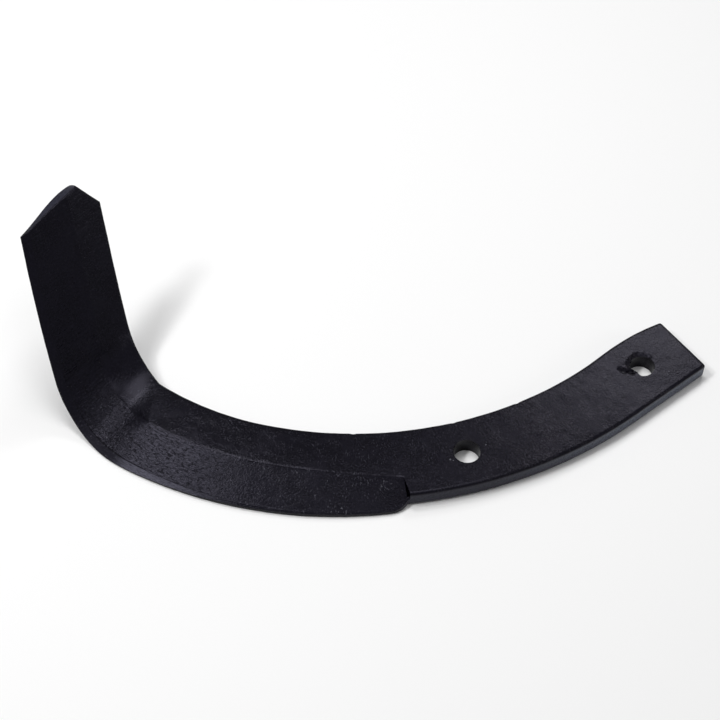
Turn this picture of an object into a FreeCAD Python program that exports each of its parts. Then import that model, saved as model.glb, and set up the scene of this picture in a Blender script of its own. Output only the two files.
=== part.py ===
"""Rotary tiller blade: one flat-forged steel bar, curved in plan, bevelled on its outer edge and folded up.

The back face of the shank lies at z = 0, the two bolt holes lie on the X axis, and the origin is midway
between them. The blade runs from the shank in -X, curves to +Y and then rises in +Z beyond the fold.
All lengths are millimetres and all angles are degrees.
"""
import FreeCAD, Part
import math
import os
import Sketcher

NODE = "blade"

SIZES = {
    # bar and bolt holes
    "thickness": 9.0,
    "edge_rounding": 1.2,
    "hole_diameter": 12.5,
    "hole_spacing": 97.5,
    # curved blade about the centre of its inner edge; other radii and widths count from that edge
    "blade_centre_x": -24.7,
    "blade_inner_radius": 142.1,
    "blade_inner_rise": 20.5,
    "blade_width_fold": 44.0,
    "blade_width_step": 41.1,
    "edge_arc_radius": 199.1,
    "fold_angle": 204.4,
    "notch_angle": 250.7,
    "step_turn": 2.7,
    # shank outline: inner hollow, outward curve at the end, outer belly and straight end run
    "hollow_beyond_inner": 36.3,
    "hollow_x": -0.6,
    "neck_radius": 117.3,
    "neck_x": 60.5,
    "belly_radius": 217.6,
    "belly_x": -1.0,
    "shank_width_notch": 37.6,
    "shank_end_slope": 8.4,
    "end_inner_x": 71.6,
    "end_outer_x": 75.3,
    "end_corner_radius": 0.9,
    # bevel, forged down from the ridge to the cutting edge
    "ridge_from_inner": 21.0,
    "notch_ridge_from_inner": 27.7,
    "bevel_fade_angle": 20.0,
    "strip_width": 4.0,
    "strip_height": 2.8,
    "edge_thickness": 0.8,
    "crease_width": 1.3,
    "crease_floor": 1.6,
    # fold and wing, measured along the unbent bar from the fold line
    "fold_radius": 27.5,
    "fold_tilt": 63.1,
    "wing_skew": 20.75,
    "wing_reach": 106.0,
    "tip_thickness": 5.0,
    "tip_slope": 4.2,
    "tip_corner_along": 14.2,
    "tip_corner_across": 12.1,
    "outer_settle": 6.0,
    "outer_run_in": 92.0,
    "ridge_settle": 1.7,
    "ridge_run_in": 31.8,
    "inner_settle": 3.5,
    "inner_run_in": 66.0,
    # torn metal beside the outer bolt hole
    "tear_start_back": 11.0,
    "tear_start_side": 4.4,
    "tear_length": 7.6,
    "tear_width": 2.2,
    "tear_depth": 1.3,
    "tear_turn": 48.0,
}

FOLD_STATIONS = 7
FADE_STATIONS = 4
OVERCUT = 6.0
TOUCH = 1e-3
SHANK_PIECES = range(6)
# waist and belly of the torn groove, as shares of its length and of its half width
TEAR_WAIST = (0.35, 0.8)
TEAR_BELLY = (0.5, 0.7)


class Sheet:
    """Spreadsheet of driving sizes, with short access to each value and to its expression."""

    def __init__(self, doc):
        self.sheet = doc.addObject("Spreadsheet::Sheet", "Sizes")
        for row, (name, value) in enumerate(SIZES.items(), 1):
            self.sheet.set(f"A{row}", name)
            self.sheet.set(f"B{row}", str(value))
            self.sheet.setAlias(f"B{row}", name)
        doc.recompute()

    def evaluate(self, text):
        """Number that an expression on the sheet gives, used for the start positions of sketch points."""
        value = self.sheet.evalExpression(text.replace("Sizes.", ""))
        return float(getattr(value, "Value", value))


def size(name):
    return f"Sizes.{name}"


def degrees(name):
    return f"(Sizes.{name} * 1deg)"


# expressions that several features share
INNER_RADIUS = size("blade_inner_radius")
CENTRE_Y = f"({INNER_RADIUS} + {size('blade_inner_rise')})"
EDGE_AT_FOLD = f"({INNER_RADIUS} + {size('blade_width_fold')})"
EDGE_AT_STEP = f"({INNER_RADIUS} + {size('blade_width_step')})"
FOOT_RADIUS = f"({INNER_RADIUS} + {size('shank_width_notch')})"
HOLLOW_RADIUS = f"({INNER_RADIUS} + {size('hollow_beyond_inner')})"
RIDGE_RADIUS = f"({INNER_RADIUS} + {size('ridge_from_inner')})"
NOTCH_RIDGE_RADIUS = f"({INNER_RADIUS} + {size('notch_ridge_from_inner')})"
STEP_ANGLE = f"({size('notch_angle')} - {size('step_turn')})"
STRIP_RADIUS = f"({EDGE_AT_FOLD} - {size('strip_width')})"
NEUTRAL_RADIUS = f"({size('fold_radius')} + {size('thickness')} / 2)"
BACK_RADIUS = f"({size('fold_radius')} + {size('thickness')})"
FOLD_LENGTH = f"({NEUTRAL_RADIUS} * {size('fold_tilt')} * pi / 180)"


def origin_plane(body, role):
    return [item for item in body.Origin.OriginFeatures if item.Role == role][0]


class Outline:
    """Closed sketch whose points start where the sizes put them and stay bound to the sheet."""

    def __init__(self, body, name, plane, sheet):
        self.sketch = body.newObject("Sketcher::SketchObject", name)
        self.sketch.AttachmentSupport = [(origin_plane(body, plane), "")]
        self.sketch.MapMode = "FlatFace"
        self.sheet = sheet

    def offset(self, target, text):
        self.sketch.setExpression(f"AttachmentOffset.{target}", text)

    def line(self, start, end, construction=False):
        edge = Part.LineSegment(FreeCAD.Vector(*start, 0), FreeCAD.Vector(*end, 0))
        return self.sketch.addGeometry(edge, construction)

    def arc(self, centre, radius, start, end):
        """Arc from the start point to the end point, the short way round; returns index and end order."""
        first = math.atan2(start[1] - centre[1], start[0] - centre[0])
        last = math.atan2(end[1] - centre[1], end[0] - centre[0])
        turn = (last - first) % (2 * math.pi)
        forward = turn < math.pi
        if not forward:
            first, last = last, first
        circle = Part.Circle(FreeCAD.Vector(*centre, 0), FreeCAD.Vector(0, 0, 1), radius)
        index = self.sketch.addGeometry(Part.ArcOfCircle(circle, first, last))
        return index, (1, 2) if forward else (2, 1)

    def bind(self, kind, *arguments):
        """Dimension whose last argument is an expression on the sheet."""
        *places, text = arguments
        value = self.sheet.evaluate(text)
        if kind == "Angle":
            value = math.radians(value)
        index = self.sketch.addConstraint(Sketcher.Constraint(kind, *places, value))
        self.sketch.setExpression(f"Constraints[{index}]", text)

    def fix(self, kind, *arguments):
        self.sketch.addConstraint(Sketcher.Constraint(kind, *arguments))

    def pin(self, geometry, point, x_text, y_text):
        """Point held at an x and a y from the sketch's own origin."""
        for kind, text in (("DistanceX", x_text), ("DistanceY", y_text)):
            self.bind(kind, -1, 1, geometry, point, text)


def polygon(outline, corners):
    """Closed polygon with every corner at its own pair of expressions."""
    places = [(outline.sheet.evaluate(x), outline.sheet.evaluate(y)) for x, y in corners]
    count = len(corners)
    lines = [outline.line(places[i], places[(i + 1) % count]) for i in range(count)]
    for i in range(count):
        outline.fix("Coincident", lines[i], 2, lines[(i + 1) % count], 1)
    for line, (x_text, y_text) in zip(lines, corners):
        outline.pin(line, 1, x_text, y_text)
    return lines


def plan_outline(body, sheet):
    """Outline of the flat bar seen from above, from the shank's end to the fold line."""
    value = sheet.evaluate
    plan = Outline(body, "PlanOutline", "XY_Plane", sheet)
    centre = (value(size("blade_centre_x")), value(CENTRE_Y))
    fold = math.radians(value(size("fold_angle")))
    notch = math.radians(value(size("notch_angle")))
    step_turn = math.radians(value(STEP_ANGLE))
    slope = math.radians(value(size("shank_end_slope")))

    def from_centre(point, radius, angle):
        return point[0] + radius * math.cos(angle), point[1] + radius * math.sin(angle)

    def toward(point, target, reach):
        span = math.dist(point, target)
        return tuple(p + (q - p) * reach / span for p, q in zip(point, target))

    inner_radius = value(INNER_RADIUS)
    hollow_radius = value(HOLLOW_RADIUS)
    hollow_x = value(size("hollow_x"))
    hollow_y = centre[1] + math.sqrt((hollow_radius - inner_radius) ** 2 - (hollow_x - centre[0]) ** 2)
    neck_radius = value(size("neck_radius"))
    neck_x = value(size("neck_x"))
    neck_y = hollow_y - math.sqrt((hollow_radius + neck_radius) ** 2 - (neck_x - hollow_x) ** 2)
    fold_inner = from_centre(centre, inner_radius, fold)
    fold_outer = from_centre(centre, value(EDGE_AT_FOLD), fold)
    hollow_start = toward((hollow_x, hollow_y), centre, hollow_radius)
    neck_start = toward((hollow_x, hollow_y), (neck_x, neck_y), hollow_radius)
    end_inner_x = value(size("end_inner_x"))
    end_inner = (end_inner_x, neck_y + math.sqrt(neck_radius ** 2 - (end_inner_x - neck_x) ** 2))
    foot = from_centre(centre, value(FOOT_RADIUS), notch)
    belly_radius = value(size("belly_radius"))
    belly_x = value(size("belly_x"))
    belly = (belly_x, foot[1] + math.sqrt(belly_radius ** 2 - (foot[0] - belly_x) ** 2))
    run_start = from_centre(belly, belly_radius, slope - math.pi / 2)
    end_outer_x = value(size("end_outer_x"))
    end_outer = (end_outer_x, run_start[1] + (end_outer_x - run_start[0]) * math.tan(slope))
    step_start = from_centre(centre, value(EDGE_AT_STEP), step_turn)
    edge_radius = value(size("edge_arc_radius"))
    half = math.dist(fold_outer, step_start) / 2
    middle = tuple((a + b) / 2 for a, b in zip(fold_outer, step_start))
    edge_centre = toward(middle, centre, math.sqrt(edge_radius ** 2 - half ** 2))
    inward = [(c - s) / edge_radius for c, s in zip(edge_centre, step_start)]
    chord = [f - s for f, s in zip(foot, step_start)]
    step_radius = sum(c * c for c in chord) / (2 * sum(c * i for c, i in zip(chord, inward)))
    step_centre = tuple(s + step_radius * i for s, i in zip(step_start, inward))

    inner, inner_ends = plan.arc(centre, inner_radius, fold_inner, hollow_start)
    hollow, hollow_ends = plan.arc((hollow_x, hollow_y), hollow_radius, hollow_start, neck_start)
    neck, neck_ends = plan.arc((neck_x, neck_y), neck_radius, neck_start, end_inner)
    end = plan.line(end_inner, end_outer)
    run = plan.line(run_start, end_outer)
    lower, lower_ends = plan.arc(belly, belly_radius, run_start, foot)
    step, step_ends = plan.arc(step_centre, step_radius, foot, step_start)
    edge, edge_ends = plan.arc(edge_centre, edge_radius, step_start, fold_outer)
    fold_line = plan.line(fold_outer, fold_inner)
    foot_ray = plan.line(centre, foot, construction=True)
    step_ray = plan.line(centre, step_start, construction=True)

    plan.fix("Tangent", inner, inner_ends[1], hollow, hollow_ends[0])
    plan.fix("Tangent", hollow, hollow_ends[1], neck, neck_ends[0])
    plan.fix("Coincident", neck, neck_ends[1], end, 1)
    plan.fix("Coincident", end, 2, run, 2)
    plan.fix("Tangent", run, 1, lower, lower_ends[0])
    plan.fix("Coincident", lower, lower_ends[1], step, step_ends[0])
    plan.fix("Tangent", step, step_ends[1], edge, edge_ends[0])
    plan.fix("Coincident", edge, edge_ends[1], fold_line, 1)
    plan.fix("Coincident", fold_line, 2, inner, inner_ends[0])
    plan.fix("Coincident", foot_ray, 1, inner, 3)
    plan.fix("Coincident", foot_ray, 2, lower, lower_ends[1])
    plan.fix("Coincident", step_ray, 1, inner, 3)
    plan.fix("Coincident", step_ray, 2, step, step_ends[1])
    plan.fix("PointOnObject", inner, 3, fold_line)

    plan.pin(inner, 3, size("blade_centre_x"), CENTRE_Y)
    plan.bind("Radius", inner, INNER_RADIUS)
    plan.bind("Radius", hollow, HOLLOW_RADIUS)
    plan.bind("DistanceX", -1, 1, hollow, 3, size("hollow_x"))
    plan.bind("Radius", neck, size("neck_radius"))
    plan.bind("DistanceX", -1, 1, neck, 3, size("neck_x"))
    plan.bind("DistanceX", -1, 1, end, 1, size("end_inner_x"))
    plan.bind("DistanceX", -1, 1, end, 2, size("end_outer_x"))
    plan.bind("Angle", run, degrees("shank_end_slope"))
    plan.bind("Angle", fold_line, f"{degrees('fold_angle')} - 180deg")
    plan.bind("Distance", fold_line, size("blade_width_fold"))
    plan.bind("Angle", foot_ray, f"{degrees('notch_angle')} - 360deg")
    plan.bind("Distance", foot_ray, FOOT_RADIUS)
    plan.bind("Angle", step_ray, f"{STEP_ANGLE} * 1deg - 360deg")
    plan.bind("Distance", step_ray, EDGE_AT_STEP)
    plan.bind("DistanceX", -1, 1, lower, 3, size("belly_x"))
    plan.bind("Radius", lower, size("belly_radius"))
    plan.bind("Radius", edge, size("edge_arc_radius"))
    return plan


def feature(body, kind, name, sketch=None):
    item = body.newObject(f"PartDesign::{kind}", name)
    if sketch is not None:
        item.Profile = sketch.sketch
    return item


def radial_section(body, name, sheet, angle_text):
    """Sketch in the upright plane through the blade's centre; x is the distance from that centre, y is up."""
    section = Outline(body, name, "XZ_Plane", sheet)
    section.sketch.setExpression(
        "AttachmentOffset",
        f"placement(vector({size('blade_centre_x')}; 0; -{CENTRE_Y});"
        f" rotation(vector(0; 1; 0); {angle_text}))",
    )
    return section


def bevel_corners(ridge_text):
    """Cutter for the bevel: down from the ridge to the sharpened strip, then steeper past the edge."""
    strip_drop = f"({size('strip_height')} - {size('edge_thickness')})"
    beyond = f"({EDGE_AT_FOLD} + {OVERCUT})"
    low = f"({size('edge_thickness')} - {strip_drop} * {OVERCUT} / {size('strip_width')})"
    top = f"({size('thickness')} + {OVERCUT})"
    return [
        (ridge_text, size("thickness")),
        (STRIP_RADIUS, size("strip_height")),
        (beyond, low),
        (beyond, top),
        (ridge_text, top),
    ]


def cut_bevel(body, sheet):
    """Bevel of even width beyond the fold line, which narrows over the last degrees before the notch."""
    even = radial_section(body, "BevelSection", sheet, size("fold_angle"))
    polygon(even, bevel_corners(RIDGE_RADIUS))
    groove = feature(body, "Groove", "Bevel", even)
    groove.ReferenceAxis = (even.sketch, ["V_Axis"])
    groove.setExpression(
        "Angle", f"{degrees('notch_angle')} - {degrees('bevel_fade_angle')} - {degrees('fold_angle')}"
    )
    sections = []
    for station in range(FADE_STATIONS):
        share = station / (FADE_STATIONS - 1)
        angle = f"{size('notch_angle')} - {size('bevel_fade_angle')} * {1 - share}"
        section = radial_section(body, f"FadeSection{station}", sheet, angle)
        ridge = f"({RIDGE_RADIUS} + ({NOTCH_RIDGE_RADIUS} - {RIDGE_RADIUS}) * {share ** 2})"
        polygon(section, bevel_corners(ridge))
        sections.append(section.sketch)
    fade = feature(body, "SubtractiveLoft", "BevelFade")
    fade.Profile = sections[0]
    fade.Sections = sections[1:]


def settled(start_text, reach_text, line):
    """Distance from the blade's centre of a named line on the wing, at a reach beyond the fold line."""
    left = f"max(0; 1 - {reach_text} / {size(f'{line}_run_in')})"
    drift = f"{reach_text} * tan({degrees('wing_skew')})"
    return f"({start_text} - {drift} + {size(f'{line}_settle')} * (1 - ({left})^2))"


def bar_section(body, name, sheet, reach_text):
    """Section of the folded bar at a reach beyond the fold line, with both inner corners rounded."""
    along = f"({reach_text} < {FOLD_LENGTH} ? {BACK_RADIUS} * sin(TURN) : {BACK_RADIUS} * sin(TURN)"
    along += f" + ({reach_text} - {FOLD_LENGTH}) * cos(TURN))"
    rise = f"({reach_text} < {FOLD_LENGTH} ? {BACK_RADIUS} * (1 - cos(TURN)) : {BACK_RADIUS} * (1 - cos(TURN))"
    rise += f" + ({reach_text} - {FOLD_LENGTH}) * sin(TURN))"
    turn = f"(min({reach_text}; {FOLD_LENGTH}) / {FOLD_LENGTH} * {degrees('fold_tilt')})"
    along = along.replace("TURN", turn)
    rise = rise.replace("TURN", turn)
    section = Outline(body, name, "XZ_Plane", sheet)
    section.sketch.setExpression(
        "AttachmentOffset",
        f"placement(vector({size('blade_centre_x')} + {along} * sin({degrees('fold_angle')}); {rise};"
        f" {along} * cos({degrees('fold_angle')}) - {CENTRE_Y});"
        f" rotation(vector(0; 1; 0); {size('fold_angle')}) * rotation(vector(1; 0; 0); -{turn}))",
    )
    value = sheet.evaluate
    thinning = f"({size('thickness')} - {size('tip_thickness')}) * {reach_text} / {size('wing_reach')}"
    top = f"({size('thickness')} - {thinning})"
    outer = settled(EDGE_AT_FOLD, reach_text, "outer")
    ridge = settled(RIDGE_RADIUS, reach_text, "ridge")
    inner = settled(INNER_RADIUS, reach_text, "inner")
    strip = f"({outer} - {size('strip_width')})"
    rounding = size("edge_rounding")
    inset = f"({inner} + {rounding})"
    corners = [
        (inset, "0"),
        (outer, "0"),
        (outer, size("edge_thickness")),
        (strip, size("strip_height")),
        (ridge, top),
        (inset, top),
    ]
    places = [(value(x), value(y)) for x, y in corners]
    lines = [section.line(a, b) for a, b in zip(places, places[1:])]
    radius = value(rounding)
    centres = [(places[5][0], places[5][1] - radius), (places[0][0], radius)]
    side = [(centres[0][0] - radius, centres[0][1]), (centres[1][0] - radius, centres[1][1])]
    upper, upper_ends = section.arc(centres[0], radius, places[5], side[0])
    wall = section.line(*side)
    lower, lower_ends = section.arc(centres[1], radius, side[1], places[0])
    for first, second in zip(lines, lines[1:]):
        section.fix("Coincident", first, 2, second, 1)
    section.fix("Tangent", lines[-1], 2, upper, upper_ends[0])
    section.fix("Tangent", upper, upper_ends[1], wall, 1)
    section.fix("Tangent", wall, 2, lower, lower_ends[0])
    section.fix("Tangent", lower, lower_ends[1], lines[0], 1)
    for line, (x_text, y_text) in list(zip(lines, corners))[1:]:
        section.pin(line, 1, x_text, y_text)
    section.pin(upper, 3, inset, f"{top} - {rounding}")
    section.pin(lower, 3, inset, rounding)
    section.bind("Radius", upper, rounding)
    section.bind("Radius", lower, rounding)
    return section.sketch


def loft(body, name, sections, ruled):
    item = feature(body, "AdditiveLoft", name)
    item.Profile = sections[0]
    item.Sections = sections[1:]
    item.Ruled = ruled


def fold_up(body, sheet):
    """Fold and wing: the bar's section carried round the fold, then straight on past the tip."""
    stations = [
        bar_section(body, f"FoldSection{k}", sheet, f"({FOLD_LENGTH} * {k / (FOLD_STATIONS - 1)})")
        for k in range(FOLD_STATIONS)
    ]
    loft(body, "Fold", stations, False)
    reach = f"({size('wing_reach')} + {OVERCUT} / 2)"
    middle = bar_section(body, "MiddleSection", sheet, f"(({FOLD_LENGTH} + {reach}) / 2)")
    loft(body, "Wing", [stations[-1], middle, bar_section(body, "EndSection", sheet, reach)], True)


def cut_tip(doc, body, sheet):
    """Tip sheared off in two straight cuts that meet at its point, drawn in the plane of the wing's back."""
    tilt = degrees("fold_tilt")
    turn = degrees("fold_angle")
    shears = Outline(body, "TipOutline", "XY_Plane", sheet)
    shears.sketch.setExpression(
        "AttachmentOffset",
        f"placement(vector({size('blade_centre_x')} + ({BACK_RADIUS} * sin({tilt})"
        f" + {OVERCUT} * sin({tilt})) * sin({turn}); {CENTRE_Y} - ({BACK_RADIUS} * sin({tilt})"
        f" + {OVERCUT} * sin({tilt})) * cos({turn}); {BACK_RADIUS} * (1 - cos({tilt}))"
        f" - {OVERCUT} * cos({tilt}));"
        f" rotation(vector(0; 0; 1); {size('fold_angle')}) * rotation(vector(1; 0; 0); -{size('fold_tilt')}))",
    )
    corner_reach = f"({size('wing_reach')} - {size('tip_corner_along')})"
    corner = settled(INNER_RADIUS, corner_reach, "inner")
    point = f"({settled(INNER_RADIUS, size('wing_reach'), 'inner')} + {size('tip_corner_across')})"
    beyond = size("blade_width_fold")
    point_y = f"({FOLD_LENGTH} - {size('wing_reach')})"
    past_y = f"({point_y} - {OVERCUT})"
    polygon(shears, [
        (point, point_y),
        (f"2 * {corner} - {point}", f"{point_y} + 2 * {size('tip_corner_along')}"),
        (f"{point} - {beyond}", past_y),
        (f"{point} + {beyond}", past_y),
        (f"{point} + {beyond}", f"{point_y} + {beyond} * tan({degrees('tip_slope')})"),
    ])
    cut = feature(body, "Pocket", "Tip", shears)
    cut.Reversed = True
    cut.setExpression("Length", f"{size('thickness')} + 2 * {OVERCUT}")
    doc.recompute()


def outline_edges(body, plan, pieces, levels):
    """Names of the body's edges that lie on chosen pieces of the plan outline, at chosen heights."""
    names = []
    for number, edge in enumerate(body.Shape.Edges, 1):
        middle = edge.valueAt((edge.FirstParameter + edge.LastParameter) / 2)
        heights = [vertex.Point.z for vertex in edge.Vertexes] + [middle.z]
        level = min(levels, key=lambda z: abs(z - middle.z))
        if max(abs(z - level) for z in heights) > TOUCH:
            continue
        foot = Part.Vertex(middle.x, middle.y, 0)
        if min(plan.sketch.Shape.Edges[piece].distToShape(foot)[0] for piece in pieces) < TOUCH:
            names.append(f"Edge{number}")
    return names


def end_corner_edges(body, beyond_x):
    """Names of the upright edges at the two corners of the shank's end."""
    names = []
    for number, edge in enumerate(body.Shape.Edges, 1):
        points = [vertex.Point for vertex in edge.Vertexes]
        upright = max(abs(points[0].x - point.x) + abs(points[0].y - point.y) for point in points) < TOUCH
        if upright and points[0].x > beyond_x - TOUCH:
            names.append(f"Edge{number}")
    return names


def fillet(doc, body, name, base, edges, radius_name):
    item = feature(body, "Fillet", name)
    item.Base = (base, edges)
    item.setExpression("Radius", size(radius_name))
    doc.recompute()
    return item


def flat_bar(doc, body, sheet):
    """Flat bar with rounded end corners and softened edges, cut off square at the fold line."""
    plan = plan_outline(body, sheet)
    bar = feature(body, "Pad", "Bar", plan)
    bar.setExpression("Length", size("thickness"))
    doc.recompute()
    corner_edges = end_corner_edges(body, sheet.evaluate(size("end_inner_x")))
    corners = fillet(doc, body, "EndCorners", bar, corner_edges, "end_corner_radius")
    faces = (0.0, sheet.evaluate(size("thickness")))
    soft_edges = outline_edges(body, plan, SHANK_PIECES, faces)
    fillet(doc, body, "SoftEdges", corners, soft_edges, "edge_rounding")


def bolt_holes(doc, body, sheet):
    """Two plain bolt holes, drilled from the top face, on the X axis."""
    marks = Outline(body, "HoleMarks", "XY_Plane", sheet)
    marks.offset("Base.z", size("thickness"))
    radius = sheet.evaluate(size("hole_diameter")) / 2
    for side in (-1, 1):
        place = f"{side} * {size('hole_spacing')} / 2"
        centre = FreeCAD.Vector(sheet.evaluate(place), 0, 0)
        mark = marks.sketch.addGeometry(Part.Circle(centre, FreeCAD.Vector(0, 0, 1), radius))
        marks.bind("DistanceX", -1, 1, mark, 3, place)
        marks.fix("PointOnObject", mark, 3, -1)
        marks.bind("Diameter", mark, size("hole_diameter"))
    doc.recompute()
    holes = feature(body, "Hole", "BoltHoles", marks)
    holes.DepthType = "ThroughAll"
    holes.Threaded = False
    holes.setExpression("Diameter", size("hole_diameter"))
    doc.recompute()


def surface_cut(doc, body, name, sheet, placement, corners, depth_text):
    """Pocket with a polygon outline, sunk from the top face of the bar."""
    mark = Outline(body, f"{name}Outline", "XY_Plane", sheet)
    mark.sketch.setExpression("AttachmentOffset", placement)
    polygon(mark, corners)
    cut = feature(body, "Pocket", name, mark)
    cut.setExpression("Length", depth_text)
    doc.recompute()


def crease(doc, body, sheet):
    """Thin wedge-shaped crack where the forged blade folds against the shoulder of the shank."""
    tip = NOTCH_RIDGE_RADIUS
    foot = f"({FOOT_RADIUS} + {OVERCUT})"
    surface_cut(
        doc, body, "Crease", sheet,
        f"placement(vector({size('blade_centre_x')}; {CENTRE_Y}; {size('thickness')});"
        f" rotation(vector(0; 0; 1); {size('notch_angle')}))",
        [(tip, "0"), (foot, "0"), (foot, size("crease_width"))],
        f"{size('thickness')} - {size('crease_floor')}",
    )


def tear(doc, body, sheet):
    """Torn groove that runs into the rim of the outer bolt hole from the blade side."""
    length = size("tear_length")
    half = f"({size('tear_width')} / 2)"
    surface_cut(
        doc, body, "Tear", sheet,
        f"placement(vector({size('hole_spacing')} / 2 - {size('tear_start_back')}; {size('tear_start_side')};"
        f" {size('thickness')}); rotation(vector(0; 0; 1); -{size('tear_turn')}))",
        [
            ("0", "0"),
            (f"{length} * {TEAR_WAIST[0]}", f"-{half} * {TEAR_WAIST[1]}"),
            (length, f"-{half}"),
            (length, half),
            (f"{length} * {TEAR_BELLY[0]}", f"{half} * {TEAR_BELLY[1]}"),
        ],
        size("tear_depth"),
    )


def failed(doc):
    """Names of the objects that did not come out of the last recompute in order."""
    return [item.Name for item in doc.Objects if {"Invalid", "Error"} & set(item.State)]


def main():
    doc = FreeCAD.newDocument("TillerBlade")
    sheet = Sheet(doc)
    body = doc.addObject("PartDesign::Body", "Blade")
    body.Label = NODE
    flat_bar(doc, body, sheet)
    full_bar = body.Shape.Volume
    bolt_holes(doc, body, sheet)
    cut_bevel(body, sheet)
    doc.recompute()
    crease(doc, body, sheet)
    tear(doc, body, sheet)
    cut_bar = body.Shape.Volume
    fold_up(body, sheet)
    doc.recompute()
    folded_bar = body.Shape.Volume
    cut_tip(doc, body, sheet)
    if failed(doc):
        raise RuntimeError(f"features failed: {failed(doc)}")
    shape = body.Shape
    if shape.isNull() or not shape.isValid() or len(shape.Solids) != 1:
        raise RuntimeError("the blade is not one sound solid")
    if not cut_bar < full_bar < shape.Volume < folded_bar:
        raise RuntimeError("a cut or the fold left the bar unchanged")
    os.makedirs("parts", exist_ok=True)
    shape.exportStep(f"parts/{body.Label}.step")
    print(f"{body.Label}: {shape.Volume / 1000:.1f} cm3")


main()
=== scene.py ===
"""Rotary tiller blade: forged, bevelled and folded bar in worn satin black paint, on a pale studio floor.

The bar is built flat, in the plan of its unbent blank, and then carried round the fold. Sizes are in
millimetres and degrees, as in the part's source; meshes are handed to Blender in metres.
"""

import logging
import math
from dataclasses import dataclass, field
from enum import Enum
from typing import Any, Callable, Sequence

import bmesh
import bpy
import numpy as np
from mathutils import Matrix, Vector

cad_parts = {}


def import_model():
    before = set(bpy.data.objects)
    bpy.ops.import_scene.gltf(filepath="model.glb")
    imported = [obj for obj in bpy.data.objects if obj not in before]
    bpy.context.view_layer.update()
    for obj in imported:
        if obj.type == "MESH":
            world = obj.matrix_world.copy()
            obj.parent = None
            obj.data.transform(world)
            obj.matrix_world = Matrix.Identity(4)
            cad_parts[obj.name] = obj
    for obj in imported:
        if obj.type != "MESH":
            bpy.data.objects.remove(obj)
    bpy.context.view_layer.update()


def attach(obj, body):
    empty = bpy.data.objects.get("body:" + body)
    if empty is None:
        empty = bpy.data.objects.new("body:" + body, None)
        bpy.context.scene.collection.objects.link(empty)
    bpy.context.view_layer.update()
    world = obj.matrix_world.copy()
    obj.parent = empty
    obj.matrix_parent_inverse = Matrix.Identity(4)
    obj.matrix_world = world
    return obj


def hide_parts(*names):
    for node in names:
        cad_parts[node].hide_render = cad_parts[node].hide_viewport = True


log = logging.getLogger("tiller_blade")
MM = 0.001
WELD_DISTANCE = 2e-6  # metres: points that lie nearer than this are joined
SLIVER_LENGTH = 1e-6  # metres: edges shorter than this are taken out
TABLE_SIDE = 256  # random values along each side of a noise table
OCTAVE_SHIFT = 37  # entries by which each finer layer of noise is moved
BULGE = 6.75  # brings the greatest height of share * (1 - share)**2 to 1
Array = np.ndarray
Colour = tuple[float, float, float, float]
Span = tuple[float, float]
BarZone = tuple[float, float, float]


class Zone(Enum):
    """Parts of the top face that the paint tells apart, and the name each has on the mesh."""

    BEVEL = "bevel_share"
    STRIP = "strip_share"
    WALL = "wall_share"
    FOLD = "fold_share"


class WingLine(Enum):
    """Lines that run from the fold to the tip, and the name each has among the sizes."""

    OUTER = "outer"
    RIDGE = "ridge"
    INNER = "inner"


def smooth_step(low: float, high: float, value: Array) -> Array:
    """Rise from 0 at low to 1 at high, with level ends."""
    share = np.clip((value - low) / (high - low), 0.0, 1.0)
    return share * share * (3.0 - 2.0 * share)


def bump_at(place: Array, spot: Sequence[float], radius: float) -> Array:
    """Rounded bump of height 1 around one spot of the blank's plan.

    Args:
        place: Plan positions, one row each.
        spot: Centre of the bump.
        radius: Distance at which the bump has died away.

    Returns:
        Height of the bump at each position.
    """
    distance = np.hypot(place[:, 0] - spot[0], place[:, 1] - spot[1])
    return 1.0 - smooth_step(0.0, radius, distance)


@dataclass(frozen=True)
class Grain:
    """Repeatable uneven ground: smooth noise over the blank's plan."""

    seed: int
    cell: float
    octaves: int = 3
    stretch: float = 1.0

    def height(self, place: Array) -> Array:
        """Noise at plan positions.

        Args:
            place: Plan positions, one row each.

        Returns:
            Values of about -1 to 1.
        """
        along = place[:, 0] / (self.cell * self.stretch)
        across = place[:, 1] / self.cell
        total = np.zeros(len(place))
        weight = 1.0
        table = np.random.default_rng(self.seed).uniform(-1.0, 1.0, (TABLE_SIDE, TABLE_SIDE))
        for octave in range(self.octaves):
            shifted = along * 2**octave + OCTAVE_SHIFT * octave
            total += weight * self.layer(table, shifted, across * 2**octave)
            weight *= 0.5
        return total

    def raised(self, place: Array) -> Array:
        """Noise shifted to run from about 0 to 2; the divisors are the greatest sums of the layers."""
        return 1 + self.height(place) / {2: 1.5, 3: 1.75, 4: 1.9}[self.octaves]

    @staticmethod
    def layer(table: Array, along: Array, across: Array) -> Array:
        """One layer of noise, read smoothly between the table's entries.

        Args:
            table: Square table of random values.
            along: Positions down the table, in entries.
            across: Positions across the table, in entries.

        Returns:
            Noise at each position.
        """
        cell_x = np.floor(along).astype(int)
        cell_y = np.floor(across).astype(int)
        x = smooth_step(0.0, 1.0, along - cell_x)
        y = smooth_step(0.0, 1.0, across - cell_y)
        corner = [[table[(cell_x + i) % TABLE_SIDE, (cell_y + j) % TABLE_SIDE] for j in (0, 1)]
                  for i in (0, 1)]
        near = corner[0][0] * (1 - y) + corner[0][1] * y
        far = corner[1][0] * (1 - y) + corner[1][1] * y
        return near * (1 - x) + far * x


EDGE_HEAVE = Grain(11, 16.0, 3)
EDGE_CHIPPING = Grain(12, 2.6, 2)
FACE_HEAVE = Grain(21, 15.0, 3)
FACE_SKIN = Grain(22, 2.4, 2)
HAMMER_MARKS = Grain(23, 2.6, 3, stretch=2.6)
PITTING = Grain(24, 2.0, 2, stretch=1.3)
WAVE_BENDS = Grain(25, 9.0, 2)
TORN_SIDES = Grain(26, 1.4, 2)
RAGGED_LIP = Grain(27, 2.2, 2)
BACK_SKIN = Grain(31, 14.0, 4)
BURR_TEETH = Grain(32, 1.6, 2)


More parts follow.
